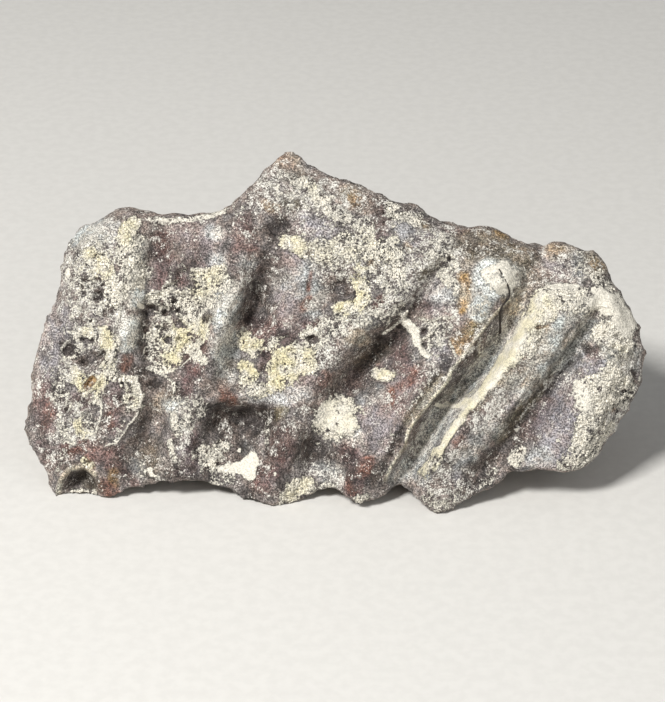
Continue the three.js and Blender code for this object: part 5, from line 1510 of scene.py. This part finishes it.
class Shader:
    """Short names for building a node material around one Principled shader."""

    def __init__(self, name):
        self.material = bpy.data.materials.new(name)
        self.material.use_nodes = True
        self.tree = self.material.node_tree
        self.surface = self.tree.nodes["Principled BSDF"]

    def node(self, kind, **settings):
        """A new node of a kind, with its properties set."""
        made = self.tree.nodes.new(kind)
        for key, value in settings.items():
            setattr(made, key, value)
        return made

    def plug(self, socket, value):
        """Links an output into a socket, or sets the socket to a plain value."""
        if isinstance(value, bpy.types.NodeSocket):
            self.tree.links.new(value, socket)
        else:
            socket.default_value = value

    def math(self, operation, first, second=0.0):
        made = self.node("ShaderNodeMath", operation=operation)
        self.plug(made.inputs[0], first)
        self.plug(made.inputs[1], second)
        return made.outputs[0]

    def mix(self, share, first, second, blend="MIX"):
        made = self.node("ShaderNodeMix", data_type="RGBA", blend_type=blend)
        self.plug(made.inputs["Factor"], share)
        self.plug(made.inputs["A"], first)
        self.plug(made.inputs["B"], second)
        return made.outputs["Result"]

    def noise(self, size, detail=2.0, roughness=0.5):
        """Noise with swells of size mm, in object coordinates."""
        made = self.node("ShaderNodeTexNoise")
        self.plug(made.inputs["Vector"], self.node("ShaderNodeTexCoord").outputs["Object"])
        made.inputs["Scale"].default_value = 1 / (size * MM)
        made.inputs["Detail"].default_value = detail
        made.inputs["Roughness"].default_value = roughness
        return made.outputs["Fac"]

    def cells(self, size):
        """Distance to the nearest of scattered centres about size mm apart, 0 at a centre."""
        made = self.node("ShaderNodeTexVoronoi")
        self.plug(made.inputs["Vector"], self.node("ShaderNodeTexCoord").outputs["Object"])
        made.inputs["Scale"].default_value = 1 / (size * MM)
        return made.outputs["Distance"]

    def threads(self, size):
        """Worm-like lines where a noise crosses its mean, spread about 0.5 as a noise is."""
        off_mean = self.math("ABSOLUTE", self.math("SUBTRACT", self.noise(size), 0.5))
        return self.spread(off_mean, 0.0, 0.1, 0.57, 0.41, "LINEAR")

    def weigh(self, *parts):
        """Sum of values, each times its weight."""
        total = 0.0
        for value, weight in parts:
            made = self.node("ShaderNodeMath", operation="MULTIPLY_ADD")
            self.plug(made.inputs[0], value)
            made.inputs[1].default_value = weight
            self.plug(made.inputs[2], total)
            total = made.outputs[0]
        return total

    def blend(self, share, first, second):
        """A value between first, at a share of 0, and second, at a share of 1."""
        made = self.node("ShaderNodeMix")
        self.plug(made.inputs["Factor"], share)
        self.plug(made.inputs[2], first)
        self.plug(made.inputs[3], second)
        return made.outputs[0]

    def attribute(self, name):
        return self.node("ShaderNodeAttribute", attribute_name=name)

    def spread(self, value, low, high, to_low=0.0, to_high=1.0, course="SMOOTHSTEP"):
        """Maps low..high to to_low..to_high, with smooth ends or in a straight line."""
        made = self.node("ShaderNodeMapRange", interpolation_type=course)
        self.plug(made.inputs["Value"], value)
        self.plug(made.inputs["From Min"], low)
        self.plug(made.inputs["From Max"], high)
        self.plug(made.inputs["To Min"], to_low)
        self.plug(made.inputs["To Max"], to_high)
        return made.outputs["Result"]

    def scatter(self, grain, cover, edge=0.02):
        """1 on the grains of a noise that a cover of 0 to 1 lets through."""
        bounds = (0.5 + NOISE_SPREAD, 0.5 - NOISE_SPREAD)
        threshold = self.spread(cover, 0.0, 1.0, *bounds, "LINEAR")
        return self.spread(self.math("SUBTRACT", grain, threshold), -edge, edge)


def rgba(colour):
    return (*linear(colour), 1.0)


def bone_material():
    """Mineralised bone, granular cream crust, white specks, painted shade in pores and crevices."""
    shader = Shader("fossil_bone")
    paint = shader.attribute("tint")
    tint, calm = paint.outputs["Color"], paint.outputs["Alpha"]
    cover = shader.attribute("cover")
    split = shader.node("ShaderNodeSeparateColor")
    shader.plug(split.inputs[0], cover.outputs["Color"])
    crust_cover, yellow, speck_cover = split.outputs[:3]

    fine = shader.noise(0.17, 2.0, 0.7)
    grain = shader.noise(0.30, 3.0, 0.65)
    clumps = shader.noise(0.85, 3.0, 0.6)
    mottle = shader.noise(1.6, 6.0, 0.85)
    patches = shader.noise(2.4, 4.0, 0.7)
    worms = shader.threads(0.45)
    veins = shader.threads(0.62)
    granules = shader.cells(0.24)

    crust_noise = shader.weigh((worms, 0.40), (grain, 0.30), (clumps, 0.30))
    smooth = shader.spread(shader.weigh((cover.outputs["Alpha"], 1.0), (crust_noise, 2.5)), 1.55, 1.95)
    crust = shader.math("MAXIMUM", shader.scatter(crust_noise, crust_cover), smooth)
    haze_noise = shader.weigh((grain, 0.25), (clumps, 0.40), (patches, 0.35))
    haze = shader.scatter(haze_noise, speck_cover, 0.06)
    speck_noise = shader.weigh((fine, 0.46), (clumps, 0.32), (patches, 0.22))
    specks = shader.scatter(speck_noise, shader.math("MULTIPLY", speck_cover, 0.75), 0.008)

    shade = shader.blend(calm, shader.spread(mottle, 0.36, 0.64, 0.45, 1.55), 1.0)
    warmth = shader.mix(shader.spread(patches, 0.40, 0.60), rgba(COOL_CAST), rgba(WARM_CAST))
    bone = shader.mix(1.0, shader.mix(1.0, tint, shade, "MULTIPLY"), warmth, "MULTIPLY")
    bone = shader.mix(1.0, bone, shader.spread(fine, 0.40, 0.60, 0.37, 1.63), "MULTIPLY")
    # painted shade: small dark pores where the grain noise and the bump are low, fewer on calm bone
    pores = shader.math("MULTIPLY", shader.spread(grain, 0.43, 0.38), shader.blend(calm, 0.5, 0.1))
    bone = shader.mix(pores, bone, rgba(PAINTED_SHADE_COLOUR))
    bone = shader.mix(shader.math("MULTIPLY", haze, 0.45), bone, rgba(CHALK_HAZE))
    bone = shader.mix(shader.math("MULTIPLY", specks, 0.9), bone, rgba(WHITE_SPECK))

    cream = shader.mix(yellow, rgba(WHITE_CRUST), rgba(YELLOW_CRUST))
    # painted shade in the crevices between the crust's granules
    hollows = shader.spread(granules, 0.75, 0.35, 0.58, 1.0)
    rough_shade = shader.math("MULTIPLY", hollows, shader.spread(fine, 0.40, 0.54, 0.42, 1.06))
    rough_shade = shader.math("MULTIPLY", rough_shade, shader.spread(veins, 0.565, 0.545, 0.50, 1.0))
    soft_shade = shader.spread(shader.weigh((fine, 0.6), (mottle, 0.4)), 0.42, 0.56, 0.66, 1.0)
    cream_shade = shader.blend(smooth, rough_shade, soft_shade)
    cream = shader.mix(1.0, cream, cream_shade, "MULTIPLY")
    colour = shader.mix(crust, bone, cream)

    roughness = shader.spread(crust, 0.0, 1.0, 0.52, 0.92)
    height = shader.weigh((crust, 0.5), (grain, 1.0), (fine, 0.6), (mottle, 1.2))
    height = shader.math("SUBTRACT", height, shader.math("MULTIPLY", granules, 0.25))
    bump = shader.node("ShaderNodeBump")
    bump.inputs["Strength"].default_value = 0.9
    bump.inputs["Distance"].default_value = 0.22 * MM
    shader.plug(bump.inputs["Height"], height)

    shader.plug(shader.surface.inputs["Base Color"], colour)
    shader.plug(shader.surface.inputs["Roughness"], roughness)
    shader.plug(shader.surface.inputs["Normal"], bump.outputs["Normal"])
    shader.surface.inputs["Specular IOR Level"].default_value = 0.35
    return shader.material


def grain_material():
    """Chalky grains, dull and a little uneven in shade."""
    shader = Shader("crust_grain")
    tint = shader.attribute("tint").outputs["Color"]
    shade = shader.spread(shader.noise(0.12, 2.0, 0.6), 0.38, 0.56, 0.72, 1.0)
    shader.plug(shader.surface.inputs["Base Color"], shader.mix(1.0, tint, shade, "MULTIPLY"))
    shader.surface.inputs["Roughness"].default_value = 0.9
    shader.surface.inputs["Specular IOR Level"].default_value = 0.3
    return shader.material


def rootlet_material():
    """Dry black plant root with faint lengthwise mottling."""
    shader = Shader("dry_rootlet")
    streaks = shader.spread(shader.noise(0.25, 2.0), 0.35, 0.65)
    colour = shader.mix(streaks, rgba(ROOT_BLACK), rgba(ROOT_BROWN))
    shader.plug(shader.surface.inputs["Base Color"], colour)
    shader.surface.inputs["Roughness"].default_value = 0.7
    return shader.material


def floor_material():
    """Pale matte board, faintly mottled."""
    shader = Shader("pale_floor")
    shade = shader.spread(shader.noise(1.2, 3.0), 0.3, 0.7)
    colour = shader.mix(shade, rgba(FLOOR_DULL), rgba(FLOOR_PALE))
    shader.plug(shader.surface.inputs["Base Color"], colour)
    shader.surface.inputs["Roughness"].default_value = 0.85
    return shader.material


# ---------------------------------------------------------------------------------------------
# Stage
# ---------------------------------------------------------------------------------------------


def add_floor():
    mesh = bpy.data.meshes.new("floor")
    far = FLOOR_REACH
    corners = [(-far, -far, 0), (far, -far, 0), (far, far, 0), (-far, far, 0)]
    mesh.from_pydata(corners, [], [(0, 1, 2, 3)])
    mesh.materials.append(floor_material())
    floor = add_piece("floor", mesh)


def add_light(name, place, size, power, colour):
    light = bpy.data.lights.new(name, "AREA")
    light.size = size
    light.energy = power
    light.color = colour
    lamp = bpy.data.objects.new(name, light)
    lamp.location = place
    lamp.rotation_mode = "QUATERNION"
    lamp.rotation_quaternion = (Vector(LIT_POINT) - Vector(place)).to_track_quat("-Z", "Y")
    bpy.context.scene.collection.objects.link(lamp)


def add_lights():
    add_light("key", **KEY_LIGHT)
    add_light("fill", **FILL_LIGHT)
    world = bpy.data.worlds.new("studio")
    world.use_nodes = True
    background = world.node_tree.nodes["Background"]
    background.inputs["Color"].default_value = SKY_COLOUR
    background.inputs["Strength"].default_value = SKY_STRENGTH
    bpy.context.scene.world = world
    bpy.context.scene.view_settings.view_transform = "Standard"


def add_camera():
    aim = Vector(from_face(AIM[0], AIM[1], FACE_TURN * (TURN_AXIS - AIM[0])) * MM)
    camera = bpy.data.cameras.new("camera")
    camera.sensor_width = SENSOR
    camera.lens = SENSOR * VIEW_DISTANCE / FRAME_HEIGHT
    camera.clip_start, camera.clip_end = CLIP
    holder = bpy.data.objects.new("camera", camera)
    holder.location = aim + Vector(FACE_NORMAL) * VIEW_DISTANCE * MM
    holder.rotation_mode = "QUATERNION"
    holder.rotation_quaternion = Vector(-FACE_NORMAL).to_track_quat("-Z", "Y")
    bpy.context.scene.collection.objects.link(holder)
    bpy.context.scene.camera = holder


add_camera()
add_lights()
add_floor()

scute, grains = build_fragment()
scute.data.materials.append(bone_material())
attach(scute, "root")
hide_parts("scute")

grains.data.materials.append(grain_material())
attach(grains, "root")

rootlet = build_rootlet(scute)
rootlet.data.materials.append(rootlet_material())
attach(rootlet, "root")
